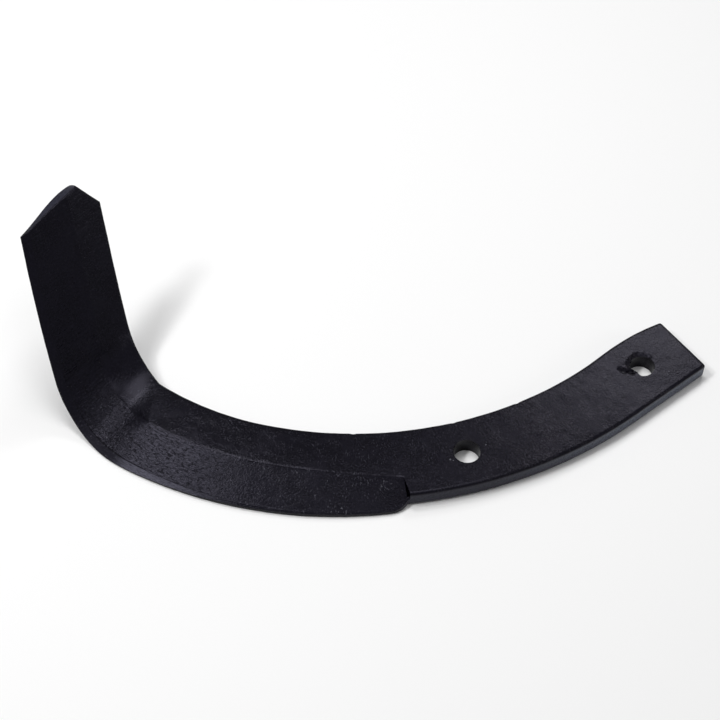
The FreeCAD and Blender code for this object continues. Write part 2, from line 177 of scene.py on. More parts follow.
@dataclass(frozen=True)
class Blank:
    """Unbent outline of the bar: wing, curved blade and shank, seen from the top face."""

    thickness: float = 9.0
    centre_x: float = -24.7
    inner_radius: float = 142.1
    inner_rise: float = 20.5
    width_fold: float = 44.0
    width_step: float = 41.1
    edge_arc_radius: float = 199.1
    fold_angle: float = 204.4
    notch_angle: float = 250.7
    step_turn: float = 2.7
    hollow_beyond_inner: float = 36.3
    hollow_x: float = -0.6
    neck_radius: float = 117.3
    neck_x: float = 60.5
    belly_radius: float = 217.6
    belly_x: float = -1.0
    shank_width_notch: float = 37.6
    shank_end_slope: float = 8.4
    end_inner_x: float = 71.6
    end_outer_x: float = 75.3
    wing_skew: float = 20.75
    wing_reach: float = 106.0
    tip_slope: float = 4.2
    tip_corner_along: float = 14.2
    tip_corner_across: float = 12.1
    outer_settle: float = 6.0
    outer_run_in: float = 92.0
    ridge_settle: float = 1.7
    ridge_run_in: float = 31.8
    inner_settle: float = 3.5
    inner_run_in: float = 66.0
    ridge_from_inner: float = 21.0
    notch_ridge_from_inner: float = 27.7
    bevel_fade_angle: float = 20.0
    strip_width: float = 4.0
    strip_height: float = 2.8
    edge_thickness: float = 0.8
    tip_thickness: float = 5.0
    fold_ease: float = 14.0

    @property
    def centre(self) -> Array:
        """Centre of the blade's inner edge."""
        return np.array([self.centre_x, self.inner_radius + self.inner_rise])

    @property
    def outward(self) -> Array:
        """Unit vector along the fold line, away from the blade's centre."""
        turn = math.radians(self.fold_angle)
        return np.array([math.cos(turn), math.sin(turn)])

    @property
    def ahead(self) -> Array:
        """Unit vector across the fold line, towards the tip."""
        turn = math.radians(self.fold_angle)
        return np.array([math.sin(turn), -math.cos(turn)])

    @property
    def edge_at_fold(self) -> float:
        """Distance of the cutting edge from the blade's centre at the fold line."""
        return self.inner_radius + self.width_fold

    def strip_on_ray(self, angle: Array) -> Array:
        """Distance from the centre at which the sharpened strip begins on the blade."""
        return self.edge_at_fold - self.strip_width - self.eased(self.turned(angle), WingLine.OUTER)

    def settled(self, start: float, reach: Array, line: WingLine) -> Array:
        """Distance from the blade's centre of a named line of the wing.

        Args:
            start: Its distance at the fold line.
            reach: Distance beyond the fold line.
            line: Line of the wing.

        Returns:
            The distance for each reach.
        """
        settle = getattr(self, f"{line.value}_settle")
        left = np.maximum(0.0, 1.0 - reach / getattr(self, f"{line.value}_run_in"))
        straight = start - reach * math.tan(math.radians(self.wing_skew))
        return straight + settle * (1.0 - left**2) - self.eased(reach, line)

    def eased(self, along: Array, line: WingLine) -> Array:
        """How far a named line's turn at the fold is worn round.

        Args:
            along: Distances from the fold line, to either side.
            line: Line of the wing; the inner one keeps its clean form.

        Returns:
            Distances by which the line stands back towards the blade's centre.
        """
        if line is WingLine.INNER:
            return np.zeros_like(along)
        steep = 2 * getattr(self, f"{line.value}_settle") / getattr(self, f"{line.value}_run_in")
        slope = math.tan(math.radians(self.wing_skew)) - steep
        left = np.maximum(0.0, 1.0 - np.abs(along) / self.fold_ease)
        return 0.25 * slope * self.fold_ease * left**2

    def turned(self, angle: Array) -> Array:
        """Distance round the blade from the fold line."""
        return np.radians(angle - self.fold_angle) * self.edge_at_fold

    def outer_line(self, reach: Array) -> Array:
        """Cutting edge of the wing."""
        return self.settled(self.edge_at_fold, reach, WingLine.OUTER)

    def strip_line(self, reach: Array) -> Array:
        """Line on the wing at which the sharpened strip begins."""
        return self.outer_line(reach) - self.strip_width

    def ridge_line(self, reach: Array) -> Array:
        """Ridge between the wing's flat and its bevel."""
        return self.settled(self.inner_radius + self.ridge_from_inner, reach, WingLine.RIDGE)

    def inner_line(self, reach: Array) -> Array:
        """Inner edge of the wing."""
        return self.settled(self.inner_radius, reach, WingLine.INNER)

    def on_wing(self, across: Array, reach: Array) -> Array:
        """Plan positions from distances across and beyond the fold line."""
        return self.centre + np.outer(across, self.outward) + np.outer(reach, self.ahead)

    def ray(self, angle: Array) -> Array:
        """Unit vectors at angles in degrees."""
        turn = np.radians(angle)
        return np.stack([np.cos(turn), np.sin(turn)], axis=-1)

    def ray_to_circle(self, angle: Array, middle: Array, radius: float) -> Array:
        """How far along rays from the blade's centre a circle lies, on its far side.

        Args:
            angle: Angles of the rays, in degrees.
            middle: Centre of the circle.
            radius: Radius of the circle.

        Returns:
            Distance along each ray.
        """
        offset = self.centre - middle
        along = self.ray(angle) @ offset
        return -along + np.sqrt(along**2 - offset @ offset + radius**2)

    @property
    def hollow(self) -> tuple[Array, float]:
        """Inner hollow of the shank.

        Returns:
            Plan position of its centre, and its radius.
        """
        rise = math.sqrt(self.hollow_beyond_inner**2 - (self.hollow_x - self.centre_x) ** 2)
        middle = np.array([self.hollow_x, self.centre[1] + rise])
        return middle, self.inner_radius + self.hollow_beyond_inner

    @property
    def foot(self) -> Array:
        """Outer point of the shank at the notch."""
        return self.centre + (self.inner_radius + self.shank_width_notch) * self.ray(self.notch_angle)

    @property
    def belly(self) -> Array:
        """Centre of the shank's outer belly."""
        rise = math.sqrt(self.belly_radius**2 - (self.foot[0] - self.belly_x) ** 2)
        return np.array([self.belly_x, self.foot[1] + rise])

    @property
    def step_start(self) -> Array:
        """End of the cutting edge's arc, where the step to the shank begins."""
        start = self.notch_angle - self.step_turn
        return self.centre + (self.inner_radius + self.width_step) * self.ray(start)

    @property
    def edge_centre(self) -> Array:
        """Centre of the cutting edge's arc.

        Returns:
            Its plan position.
        """
        fold_end = self.centre + self.edge_at_fold * self.outward
        chord = self.step_start - fold_end
        length = float(np.linalg.norm(chord))
        inward = np.array([-chord[1], chord[0]]) / length
        return (fold_end + self.step_start) / 2 + inward * math.sqrt(self.edge_arc_radius**2 - length**2 / 4)

    @property
    def step(self) -> tuple[Array, float]:
        """Rounded step between cutting edge and shank.

        Returns:
            Plan position of its centre, and its radius.
        """
        inward = (self.edge_centre - self.step_start) / self.edge_arc_radius
        chord = self.foot - self.step_start
        radius = float(chord @ chord / (2 * chord @ inward))
        return self.step_start + radius * inward, radius

    def inner_on_ray(self, angle: Array) -> Array:
        """Distance of the inner edge on rays across the curved blade.

        Args:
            angle: Angles of the rays, in degrees.

        Returns:
            Distances from the blade's centre.
        """
        middle, radius = self.hollow
        tangent = math.degrees(math.atan2(*(self.centre - middle)[::-1])) % 360
        return np.where(angle < tangent, self.inner_radius, self.ray_to_circle(angle, middle, radius))

    def outer_on_ray(self, angle: Array) -> Array:
        """Distance of the cutting edge or the step on rays across the curved blade.

        Args:
            angle: Angles of the rays, in degrees.

        Returns:
            Distances from the blade's centre.
        """
        middle, radius = self.step
        start = self.notch_angle - self.step_turn
        edge = self.ray_to_circle(angle, self.edge_centre, self.edge_arc_radius)
        edge = edge - self.eased(self.turned(angle), WingLine.OUTER)
        step = self.ray_to_circle(np.maximum(angle, start), middle, radius)
        return np.where(angle < start, edge, step)

    def ridge_on_ray(self, angle: Array) -> Array:
        """Distance of the ridge, which moves outward over the last degrees before the notch.

        Args:
            angle: Angles of rays from the blade's centre, in degrees.

        Returns:
            Distances from the blade's centre.
        """
        before_notch = angle - self.notch_angle + self.bevel_fade_angle
        share = np.clip(before_notch / self.bevel_fade_angle, 0.0, 1.0)
        extra = (self.notch_ridge_from_inner - self.ridge_from_inner) * share**2
        line = self.inner_radius + self.ridge_from_inner + extra
        return line - self.eased(self.turned(angle), WingLine.RIDGE)

    def shank_inner(self, share: Array) -> Array:
        """Points of the shank's inner edge, from the notch ray to the shank's end.

        Args:
            share: Shares of the edge's length, 0 at the notch and 1 at the end.

        Returns:
            Plan positions.
        """
        middle, radius = self.hollow
        start = self.centre + self.inner_on_ray(np.array([self.notch_angle])) * self.ray(self.notch_angle)
        first = math.atan2(start[1] - middle[1], start[0] - middle[0])
        drop = math.sqrt((radius + self.neck_radius) ** 2 - (self.neck_x - middle[0]) ** 2)
        neck = np.array([self.neck_x, middle[1] - drop])
        meeting = math.atan2(neck[1] - middle[1], neck[0] - middle[0])
        turned = meeting + math.pi
        last = math.acos((self.end_inner_x - self.neck_x) / self.neck_radius)
        lengths = (radius * (meeting - first), self.neck_radius * (turned - last))
        along = share * sum(lengths)
        hollow_turn = first + np.minimum(along, lengths[0]) / radius
        neck_turn = turned - np.maximum(0.0, along - lengths[0]) / self.neck_radius
        on_hollow = middle + radius * np.stack([np.cos(hollow_turn), np.sin(hollow_turn)], axis=-1)
        on_neck = neck + self.neck_radius * np.stack([np.cos(neck_turn), np.sin(neck_turn)], axis=-1)
        return np.where((along < lengths[0])[:, None], on_hollow, on_neck)

    def shank_outer(self, share: Array) -> Array:
        """Points of the shank's outer edge, from the notch's foot to the shank's end.

        Args:
            share: Shares of the edge's length, 0 at the notch and 1 at the end.

        Returns:
            Plan positions.
        """
        slope = math.radians(self.shank_end_slope)
        first = math.atan2(self.foot[1] - self.belly[1], self.foot[0] - self.belly[0])
        last = slope - math.pi / 2
        run_start = self.belly + self.belly_radius * np.array([math.cos(last), math.sin(last)])
        run_length = (self.end_outer_x - run_start[0]) / math.cos(slope)
        lengths = (self.belly_radius * (last - first), run_length)
        along = share * sum(lengths)
        turn = first + np.minimum(along, lengths[0]) / self.belly_radius
        on_belly = self.belly + self.belly_radius * np.stack([np.cos(turn), np.sin(turn)], axis=-1)
        run = np.maximum(0.0, along - lengths[0])[:, None] * np.array([math.cos(slope), math.sin(slope)])
        return on_belly + run


@dataclass(frozen=True)
class Bend:
    """Cold fold of the blank about a line: everything beyond it rises round a cylinder."""

    blank: Blank
    radius: float = 27.5
    tilt: float = 63.1
    end_swell: float = 1.7
    end_swell_length: float = 9.0

    @property
    def length(self) -> float:
        """Length of blank that goes round the fold."""
        return (self.radius + self.blank.thickness / 2) * math.radians(self.tilt)

    def swell(self, across: Array, reach: Array, level: Array) -> Array:
        """How far the sheared end stands out towards its back edge, most at a third of its width.

        Args:
            across: Distances from the blade centre, along the fold line.
            reach: Distances beyond the fold line.
            level: Heights above the back face.

        Returns:
            Extra reach of each point.
        """
        blank = self.blank
        end_reach = np.array([blank.wing_reach])
        near = float(blank.inner_line(end_reach)[0]) + blank.tip_corner_across
        far = float(blank.outer_line(end_reach)[0])
        share = np.clip((across - near) / (far - near), 0.0, 1.0)
        end = blank.wing_reach - (far - near) * share * math.tan(math.radians(blank.tip_slope))
        lean = np.clip(1 - level / blank.tip_thickness, 0.0, 1.0)
        bulge = self.end_swell * BULGE * share * (1 - share) ** 2
        return bulge * lean * smooth_step(-self.end_swell_length, 0.0, reach - end)

    def carry(self, place: Array, level: Array) -> Array:
        """Bent positions of points of the blank.

        Args:
            place: Plan positions in the blank.
            level: Heights above the back face.

        Returns:
            Positions in space, in millimetres.
        """
        offset = place - self.blank.centre
        across = offset @ self.blank.outward
        reach = offset @ self.blank.ahead
        on_wing = (reach > 0) & (across > 0)
        reach = reach + np.where(on_wing, self.swell(across, reach, level), 0.0)
        turn = np.clip(reach / self.length, 0.0, 1.0) * math.radians(self.tilt)
        beyond = np.maximum(0.0, reach - self.length)
        back = self.radius + self.blank.thickness
        tilt = math.radians(self.tilt)
        along = (back - level) * np.sin(turn) + beyond * math.cos(tilt)
        rise = back * (1 - np.cos(turn)) + beyond * math.sin(tilt) + level * np.cos(turn)
        bent = self.blank.centre + np.outer(across, self.blank.outward) + np.outer(along, self.blank.ahead)
        plan = np.where(on_wing[:, None], bent, place)
        return np.column_stack([plan, np.where(on_wing, rise, level)])


@dataclass
class Rows:
    """Lines across the blank, from the tip to the shank's end, each from inner to outer edge."""

    inner: list[Array] = field(default_factory=list)
    outer: list[Array] = field(default_factory=list)
    ridge: list[Array] = field(default_factory=list)
    strip: list[Array] = field(default_factory=list)
    crack: list[Array] = field(default_factory=list)
    on_shank: list[Array] = field(default_factory=list)

    def add(self, inner: Array, outer: Array, ridge: Array, strip: Array, crack: Array | float = 0.0,
            on_shank: bool = False) -> None:
        """Append lines across the blank.

        Args:
            inner: Plan positions of their inner ends.
            outer: Plan positions of their outer ends.
            ridge: Share of the way from inner to outer end at which each crosses the ridge.
            strip: The same for the start of the sharpened strip.
            crack: How far each is moved aside for the crack; -1 and -2 mark the crack's floor lines.
            on_shank: True where the lines belong to the shank.
        """
        count = len(inner)
        self.inner.append(inner)
        self.outer.append(outer)
        self.ridge.append(np.broadcast_to(ridge, count))
        self.strip.append(np.broadcast_to(strip, count))
        self.crack.append(np.broadcast_to(crack, count))
        self.on_shank.append(np.full(count, on_shank))

    def joined(self) -> list[Array]:
        """All lines in order, one array for each field."""
        fields = (self.inner, self.outer, self.ridge, self.strip, self.crack, self.on_shank)
        return [np.concatenate(parts) for parts in fields]


@dataclass(frozen=True)
class BoltHole:
    """Plain bolt hole through the shank."""

    place: tuple[float, float]
    radius: float = 6.25
    margin: float = 3.2

    def distance(self, place: Array) -> Array:
        """Distance of plan positions from the hole's rim, positive outside it."""
        return np.hypot(place[:, 0] - self.place[0], place[:, 1] - self.place[1]) - self.radius


@dataclass(frozen=True)
class Lay:
    """Where plan positions lie on the forged faces."""

    on_wing: Array
    reach: Array
    angle: Array
    from_centre: Array
    ridge: Array
    strip: Array
    along: Array

    def beside_ridge(self, low: float, high: float) -> Array:
        """Rise from 0 to 1 across the ridge, between two distances from it."""
        return smooth_step(low, high, self.from_centre - self.ridge)

    def between(self, low: float, high: float, soft: float) -> Array:
        """1 between two places along the bar, falling to 0 over a soft distance outside them."""
        return smooth_step(low - soft, low, self.along) * (1 - smooth_step(high, high + soft, self.along))

    @property
    def ruled(self) -> Array:
        """Positions along and across the bar, for marks that follow it."""
        return np.column_stack([self.along, self.from_centre])


@dataclass(frozen=True)
class Relief:
    """Heights of the forged faces: bevel and ridge, and all that forging and use left on them.

    A zone holds the places along the bar at which something starts and stops, and the distance over
    which it fades outside them. A band holds the two values between which something rises.
    """

    blank: Blank
    holes: tuple[BoltHole, ...]
    ridge_softness: float = 0.01
    ridge_band: tuple[float, float] = (-0.6, 0.8)
    strip_band: tuple[float, float] = (-0.3, 0.3)
    notch_fade: float = 0.4
    fold_softness: float = 5.5
    fold_zone: BarZone = (-26.0, 0.0, 14.0)
    heave: float = 0.10
    skin: float = 0.03
    strip_smoothness: float = 0.8
    hammer_depth: float = 0.12
    hammer_rest: float = 0.45
    hammered_zone: BarZone = (-34.0, 90.0, 20.0)
    pit_depth: float = 0.15
    pit_band: tuple[float, float] = (0.50, 1.10)
    pitted_rim: tuple[float, float] = (-11.0, -6.0)
    pitted_zone: BarZone = (4.0, 52.0, 14.0)
    ripple_depth: float = 0.05
    ripple_pace: float = 0.95
    ripple_wander: float = 2.2
    crack_floor: float = 1.6
    tear_start: tuple[float, float] = (37.75, 4.4)
    tear_turn: float = -48.0
    tear_length: float = 7.6
    tear_half_width: float = 1.15
    tear_depth: float = 1.5
    tear_lead: float = 0.4
    tear_open: float = 0.45
    tear_narrow: float = 0.45
    tear_floor: float = 0.45
    tear_run_out: float = 1.2
    tear_raggedness: float = 0.25
    lip_width: float = 1.5
    lip_depth: float = 0.7
    lip_turn: float = 95.0
    lip_band: tuple[float, float] = (40.0, 95.0)
    lip_raggedness: float = 0.4

    def lay(self, place: Array) -> Lay:
        """Find where plan positions lie on the bar.

        Args:
            place: Plan positions in the blank.

        Returns:
            Their lay; along is counted from the fold line, positive towards the shank.
        """
        blank = self.blank
        offset = place - blank.centre
        across = offset @ blank.outward
        ahead = offset @ blank.ahead
        on_wing = (ahead > 0) & (across > 0)
        reach = np.maximum(0.0, ahead)
        angle = np.degrees(np.arctan2(offset[:, 1], offset[:, 0])) % 360
        distance = np.hypot(offset[:, 0], offset[:, 1])
        ridge = np.where(on_wing, blank.ridge_line(reach), blank.ridge_on_ray(angle))
        strip = np.where(on_wing, blank.strip_line(reach), blank.strip_on_ray(angle))
        return Lay(on_wing, reach, angle, np.where(on_wing, across, distance), ridge, strip,
                   np.where(on_wing, -reach, blank.turned(angle)))

    def face_height(self, place: Array, shank: Array) -> Array:
        """Clean height of the top face above the back face.

        Args:
            place: Plan positions in the blank.
            shank: True where a position counts as shank, which has no bevel.

        Returns:
            Heights in millimetres.
        """
        blank = self.blank
        lay = self.lay(place)
        thinning = (blank.thickness - blank.tip_thickness) * lay.reach / blank.wing_reach
        top = np.where(lay.on_wing, blank.thickness - thinning, blank.thickness)
        bevel = top - (top - blank.strip_height) * (lay.from_centre - lay.ridge) / (lay.strip - lay.ridge)
        fall = (blank.strip_height - blank.edge_thickness) / blank.strip_width
        ground = blank.strip_height - fall * (lay.from_centre - lay.strip)
        cut = np.where(lay.from_centre > lay.strip, ground, bevel)
        soft = self.ridge_softness + self.fold_softness * lay.between(*self.fold_zone)
        blend = np.clip(0.5 + 0.5 * (cut - top) / soft, 0.0, 1.0)
        softened = cut * (1 - blend) + top * blend - soft * blend * (1 - blend)
        return np.where(shank, blank.thickness, softened)

    def bevel_share(self, lay: Lay) -> Array:
        """Where the forged bevel is.

        Args:
            lay: Where positions lie on the bar.

        Returns:
            1 on the bevel and 0 on the flat faces.
        """
        notch = self.blank.notch_angle
        to_notch = 1 - smooth_step(notch - self.notch_fade, notch, lay.angle)
        return lay.beside_ridge(*self.ridge_band) * np.where(lay.on_wing, 1.0, to_notch)

    def strip_share(self, lay: Lay) -> Array:
        """1 on the sharpened strip along the cutting edge."""
        return smooth_step(*self.strip_band, lay.from_centre - lay.strip) * self.bevel_share(lay)

    def depth(self, place: Array) -> Array:
        """Depth of the top face below its clean height.

        Args:
            place: Plan positions in the blank.

        Returns:
            Depths in millimetres, never less than 0.
        """
        lay = self.lay(place)
        bevel = self.bevel_share(lay) * (1 - self.strip_smoothness * self.strip_share(lay))
        ruled = lay.ruled
        ground = self.heave * FACE_HEAVE.raised(place) + self.skin * FACE_SKIN.raised(place)
        hammered = self.hammer_depth * HAMMER_MARKS.raised(ruled)
        heavy = self.hammer_rest + (1 - self.hammer_rest) * lay.between(*self.hammered_zone)
        pits = smooth_step(*self.pit_band, PITTING.height(ruled))
        near_strip = smooth_step(*self.pitted_rim, lay.from_centre - lay.strip)
        pitted = self.pit_depth * pits * near_strip * lay.between(*self.pitted_zone)
        wander = self.ripple_wander * WAVE_BENDS.height(ruled)
        waves = 0.5 + 0.5 * np.sin(lay.reach * self.ripple_pace + wander)
        rippled = self.ripple_depth * waves * lay.on_wing
        worked = ground + bevel * (hammered * heavy + pitted + rippled)
        return worked + self.tear(place) + self.sunk_lip(place)

    def sunk_lip(self, place: Array) -> Array:
        """Depth of the ragged, sunk rim round the far side of the outer bolt hole.

        Args:
            place: Plan positions in the blank.

        Returns:
            Depths in millimetres.
        """
        hole = self.holes[1]
        offset = place - np.array(hole.place)
        turn = np.degrees(np.arctan2(offset[:, 1], offset[:, 0])) % 360
        far_side = 1 - smooth_step(*self.lip_band, np.abs(turn - self.lip_turn))
        reach = self.lip_width * (1 + self.lip_raggedness * RAGGED_LIP.height(place))
        return self.lip_depth * far_side * (1 - smooth_step(0.0, 1.0, hole.distance(place) / reach))

    def tear(self, place: Array) -> Array:
        """Depth of the torn groove that runs into the rim of the outer bolt hole.

        Args:
            place: Plan positions in the blank.

        Returns:
            Depths in millimetres.
        """
        turn = math.radians(self.tear_turn)
        offset = place - np.array(self.tear_start)
        along = offset @ np.array([math.cos(turn), math.sin(turn)])
        across = offset @ np.array([-math.sin(turn), math.cos(turn)])
        opening = smooth_step(-self.tear_lead, self.tear_open * self.tear_length, along)
        ended = 1 - smooth_step(self.tear_length, self.tear_length + self.tear_run_out, along)
        ragged = 1 + self.tear_raggedness * TORN_SIDES.height(place)
        half = self.tear_half_width * (self.tear_narrow + (1 - self.tear_narrow) * opening) * ragged
        sides = 1 - smooth_step(self.tear_floor, 1.0, np.abs(across) / half)
        return self.tear_depth * opening * ended * sides


class MeshSheets:
    """Collects grids of points that meet along shared rows, and joins them into one mesh."""

    def __init__(self) -> None:
        """Start with no points and no faces."""
        self.points: list[Array] = []
        self.faces: list[Array] = []
        self.count = 0

    def add_points(self, points: Array) -> Array:
        """Add points.

        Args:
            points: One row for each point.

        Returns:
            Their numbers.
        """
        numbers = np.arange(self.count, self.count + len(points))
        self.points.append(points)
        self.count += len(points)
        return numbers

    def add_grid(self, grid: Array, flip: bool, skip: Array | None = None) -> None:
        """Faces between the points of a grid of point numbers.

        Args:
            grid: Point numbers, rows by columns.
            flip: Turn the faces over.
            skip: True for each cell that is left open.
        """
        quads = np.stack([grid[:-1, :-1], grid[1:, :-1], grid[1:, 1:], grid[:-1, 1:]], axis=-1)
        keep = np.ones(quads.shape[:2], bool) if skip is None else ~skip
        quads = quads[keep]
        self.faces.append(quads[:, ::-1] if flip else quads)


@dataclass
class TillerBlade:
    """The whole bar: wing, fold, curved blade and shank, forged in one piece."""

    blank: Blank = field(default_factory=Blank)
    hole_spacing: float = 97.5
    edge_rounding: float = 1.2
    keen_rounding: float = 0.3
    tip_rounding: float = 0.35
    crest_start: float = 20.0
    pitch: float = 0.85
    shank_run: float = 160.0
    crack_width: float = 1.3
    crack_lump: float = 5.4
    crack_fade_lines: float = 7.0
    crack_overrun: float = 1.1
    crack_closes: tuple[float, float] = (-3.6, -1.2)
    columns: tuple[int, int, int] = (27, 22, 8)
    arc_rows: int = 5
    wall_rows: int = 7
    bore_rows: int = 15
    corner_rounding: float = 0.9
    corner_most: float = 0.45
    edge_heave: float = 0.10
    inner_chipping: float = 0.05
    outer_chipping: float = 0.06
    back_heave: float = 0.10
    back_most: float = 0.12
    thin_edge: float = 1.6
    burr_angle: float = 196.0
    burr_spread: float = 36.0
    burr_length: float = 2.6
    burr_width: float = 1.4
    burr_levels: tuple[float, float] = (1.5, 5.5)
    burr_raggedness: float = 0.35
    burr_bore_reach: float = 0.5
    lip_growth: float = 0.3
    crest_shares: tuple[float, float] = (0.3, 0.5)
    crest_limit: float = 6.0
    corner_limit: float = 50.0
    face_band: tuple[float, float] = (0.5, 0.95)
    hole_band: tuple[float, float] = (0.3, 0.9)
    wall_top_band: tuple[float, float] = (0.08, 0.24)
    wall_foot_band: tuple[float, float] = (0.0, 0.1)
    wall_height_band: tuple[float, float] = (2.2, 4.0)
    painted_fold: BarZone = (-30.0, 46.0, 22.0)
    nicks: tuple[tuple[float, float, float, float], ...] = (
        (-89.1, 34.3, 2.0, 0.38), (-45.7, 16.7, 1.6, 0.34), (-14.2, 11.6, 1.8, 0.34))
    rim_shares: tuple[float, ...] = (0.0, 0.03, 0.08, 0.15, 0.26, 0.42, 0.62, 0.82)

    def __post_init__(self) -> None:
        """Set out the fold, the two bolt holes, the faces' relief and an empty mesh."""
        self.bend = Bend(self.blank)
        half = self.hole_spacing / 2
        self.holes = (BoltHole((-half, 0.0)), BoltHole((half, 0.0)))
        self.relief = Relief(self.blank, self.holes)
        self.sheets = MeshSheets()

    def slanted_share(self, inner: Array, outer: Array, line: Callable[[Array], Array]) -> Array:
        """Find where slanting lines over the tip cross a line of the wing.

        Args:
            inner: Plan positions of their inner ends.
            outer: Plan positions of their outer ends.
            line: Distance of the wing's line from the blade's centre, by reach.

        Returns:
            Shares of the way from inner to outer end.
        """
        share = np.full(len(inner), 0.5)
        start = (inner - self.blank.centre) @ self.blank.outward
        width = (outer - inner) @ self.blank.outward
        for _ in range(8):
            place = inner + (outer - inner) * share[:, None]
            reach = (place - self.blank.centre) @ self.blank.ahead
            share = (line(reach) - start) / width
        return share

    def end_shares(self, rounding: float, length: float) -> Array:
        """Shares of a run's length at which lines stand round its softened end."""
        turn = np.radians(np.linspace(0.0, 90.0, self.arc_rows))
        return rounding * (1 - np.cos(turn)) / length

    def rows(self) -> Rows:
        """Set out the lines across the blank.

        Returns:
            All lines from the tip to the shank's end, with ridge, strip and crack on each.
        """
        rows = Rows()
        corner_reach = self.blank.wing_reach - self.blank.tip_corner_along
        self.add_tip_rows(rows, corner_reach)
        self.add_wing_rows(rows, corner_reach)
        foot_ridge, foot_strip = self.add_blade_rows(rows)
        self.add_shank_rows(rows, foot_ridge, foot_strip)
        return rows

    def add_tip_rows(self, rows: Rows, corner_reach: float) -> None:
        """Add the slanting lines between the tip's two sheared cuts.

        Args:
            rows: Lines so far.
            corner_reach: Reach at which the inner cut ends.
        """
        blank = self.blank
        end_reach = np.array([blank.wing_reach])
        point_across = float(blank.inner_line(end_reach)[0]) + blank.tip_corner_across
        width = float(blank.outer_line(end_reach)[0]) - point_across
        outer_reach = blank.wing_reach - width * math.tan(math.radians(blank.tip_slope))
        soft = self.end_shares(self.tip_rounding, blank.tip_corner_along)
        even = np.linspace(soft[-1], 1.0, round(blank.tip_corner_along / self.pitch))[1:-1]
        share = np.concatenate([soft, even])
        corner_across = float(blank.inner_line(np.array([corner_reach]))[0])
        inner = blank.on_wing(point_across + (corner_across - point_across) * share,
                              blank.wing_reach + (corner_reach - blank.wing_reach) * share)
        reach = outer_reach + (corner_reach - outer_reach) * share
        outer = blank.on_wing(blank.outer_line(reach), reach)
        rows.add(inner, outer, self.slanted_share(inner, outer, blank.ridge_line),
                 self.slanted_share(inner, outer, blank.strip_line))

    def add_wing_rows(self, rows: Rows, corner_reach: float) -> None:
        """Add the level lines of the wing, down to the fold line.

        Args:
            rows: Lines so far.
            corner_reach: Reach at which the tip's inner cut ends.
        """
        blank = self.blank
        reach = np.linspace(corner_reach, 0.0, round(corner_reach / self.pitch))[:-1]
        near, far = blank.inner_line(reach), blank.outer_line(reach)
        rows.add(blank.on_wing(near, reach), blank.on_wing(far, reach),
                 (blank.ridge_line(reach) - near) / (far - near), 1 - blank.strip_width / (far - near))

    def add_blade_rows(self, rows: Rows) -> tuple[float, float]:
        """Add the lines across the curved blade, from the fold line to the notch.

        Args:
            rows: Lines so far.

        Returns:
            Shares of the last line at which it crosses the ridge and the start of the strip.
        """
        blank = self.blank
        arc = float(blank.turned(np.array([blank.notch_angle]))[0])
        angle = np.linspace(blank.fold_angle, blank.notch_angle, round(arc / self.pitch))
        near, far = blank.inner_on_ray(angle), blank.outer_on_ray(angle)
        ray = blank.ray(angle)
        ridge = (blank.ridge_on_ray(angle) - near) / (far - near)
        strip = (np.minimum(blank.strip_on_ray(angle), far - 4 * self.keen_rounding) - near) / (far - near)
        rows.add(blank.centre + near[:, None] * ray, blank.centre + far[:, None] * ray, ridge, strip)
        return float(ridge[-1]), float(strip[-1])

    def add_shank_rows(self, rows: Rows, foot_ridge: float, foot_strip: float) -> None:
        """Add the lines across the shank, the first ones for the crack at the notch.

        Args:
            rows: Lines so far.
            foot_ridge: Share of each line at which the ridge's column stands.
            foot_strip: The same for the strip's column.
        """
        soft = 1.0 - self.end_shares(self.edge_rounding, self.shank_run)[::-1]
        even = np.linspace(0.0, soft[0], round(self.shank_run / self.pitch))[:-1]
        share = np.concatenate([np.zeros(2), even, soft])
        fading = np.maximum(0.0, 1.0 - np.arange(len(share) - 2) / self.crack_fade_lines)
        crack = np.concatenate([[-1.0, -2.0], fading])
        inner, outer = self.blank.shank_inner(share), self.blank.shank_outer(share)
        rows.add(inner, outer, foot_ridge, foot_strip, crack, True)

    def build_sections(self) -> None:
        """Faces of the bar: top, back, both side walls and both ends, with the holes left open."""
        inner, outer, ridge, strip, crack, shank = self.rows().joined()
        span = outer - inner
        width = np.linalg.norm(span, axis=1)
        along = span / width[:, None]
        inner_wobble, outer_wobble = self.edge_wear(inner, outer)
        inner = inner + along * inner_wobble[:, None]
        width = width - inner_wobble - outer_wobble
        round_in = np.full(len(width), self.edge_rounding)
        round_out = np.where(shank, self.edge_rounding, self.keen_rounding)
        stops = np.stack([round_in, ridge * width, strip * width, width - round_out], axis=1)
        stops = np.maximum.accumulate(stops, axis=1)
        parts = [np.linspace(stops[:, k], stops[:, k + 1], n + 1, axis=1)[:, (1 if k else 0):]
                 for k, n in enumerate(self.columns)]
        column = np.concatenate(parts, axis=1)
        place = inner[:, None, :] + column[..., None] * along[:, None, :]
        place, full = self.crack_lines(place, crack, shank)
        side_in = self.wall(inner, along, round_in, full[:, 0], place[:, 0])
        side_out = self.wall(inner + width[:, None] * along, -along, round_out, full[:, -1], place[:, -1])
        drop = self.end_drop(len(width))

        top = self.add_sheet(place, full, full, drop)
        back = self.add_sheet(place, np.zeros_like(full), full, drop)
        wall_in, wall_out = (self.add_sheet(*side, np.repeat(height[:, None], side[1].shape[1], 1), drop)
                             for side, height in ((side_in, full[:, 0]), (side_out, full[:, -1])))
        open_cells = self.build_holes(place, full, top, back)
        self.sheets.add_grid(top, False, open_cells)
        self.sheets.add_grid(back, True, open_cells)
        self.sheets.add_grid(wall_in, True)
        self.sheets.add_grid(wall_out, False)
        for line, flip in ((0, False), (len(width) - 1, True)):
            self.build_end(line, place[line], full[line], side_in, side_out, drop[line], flip)

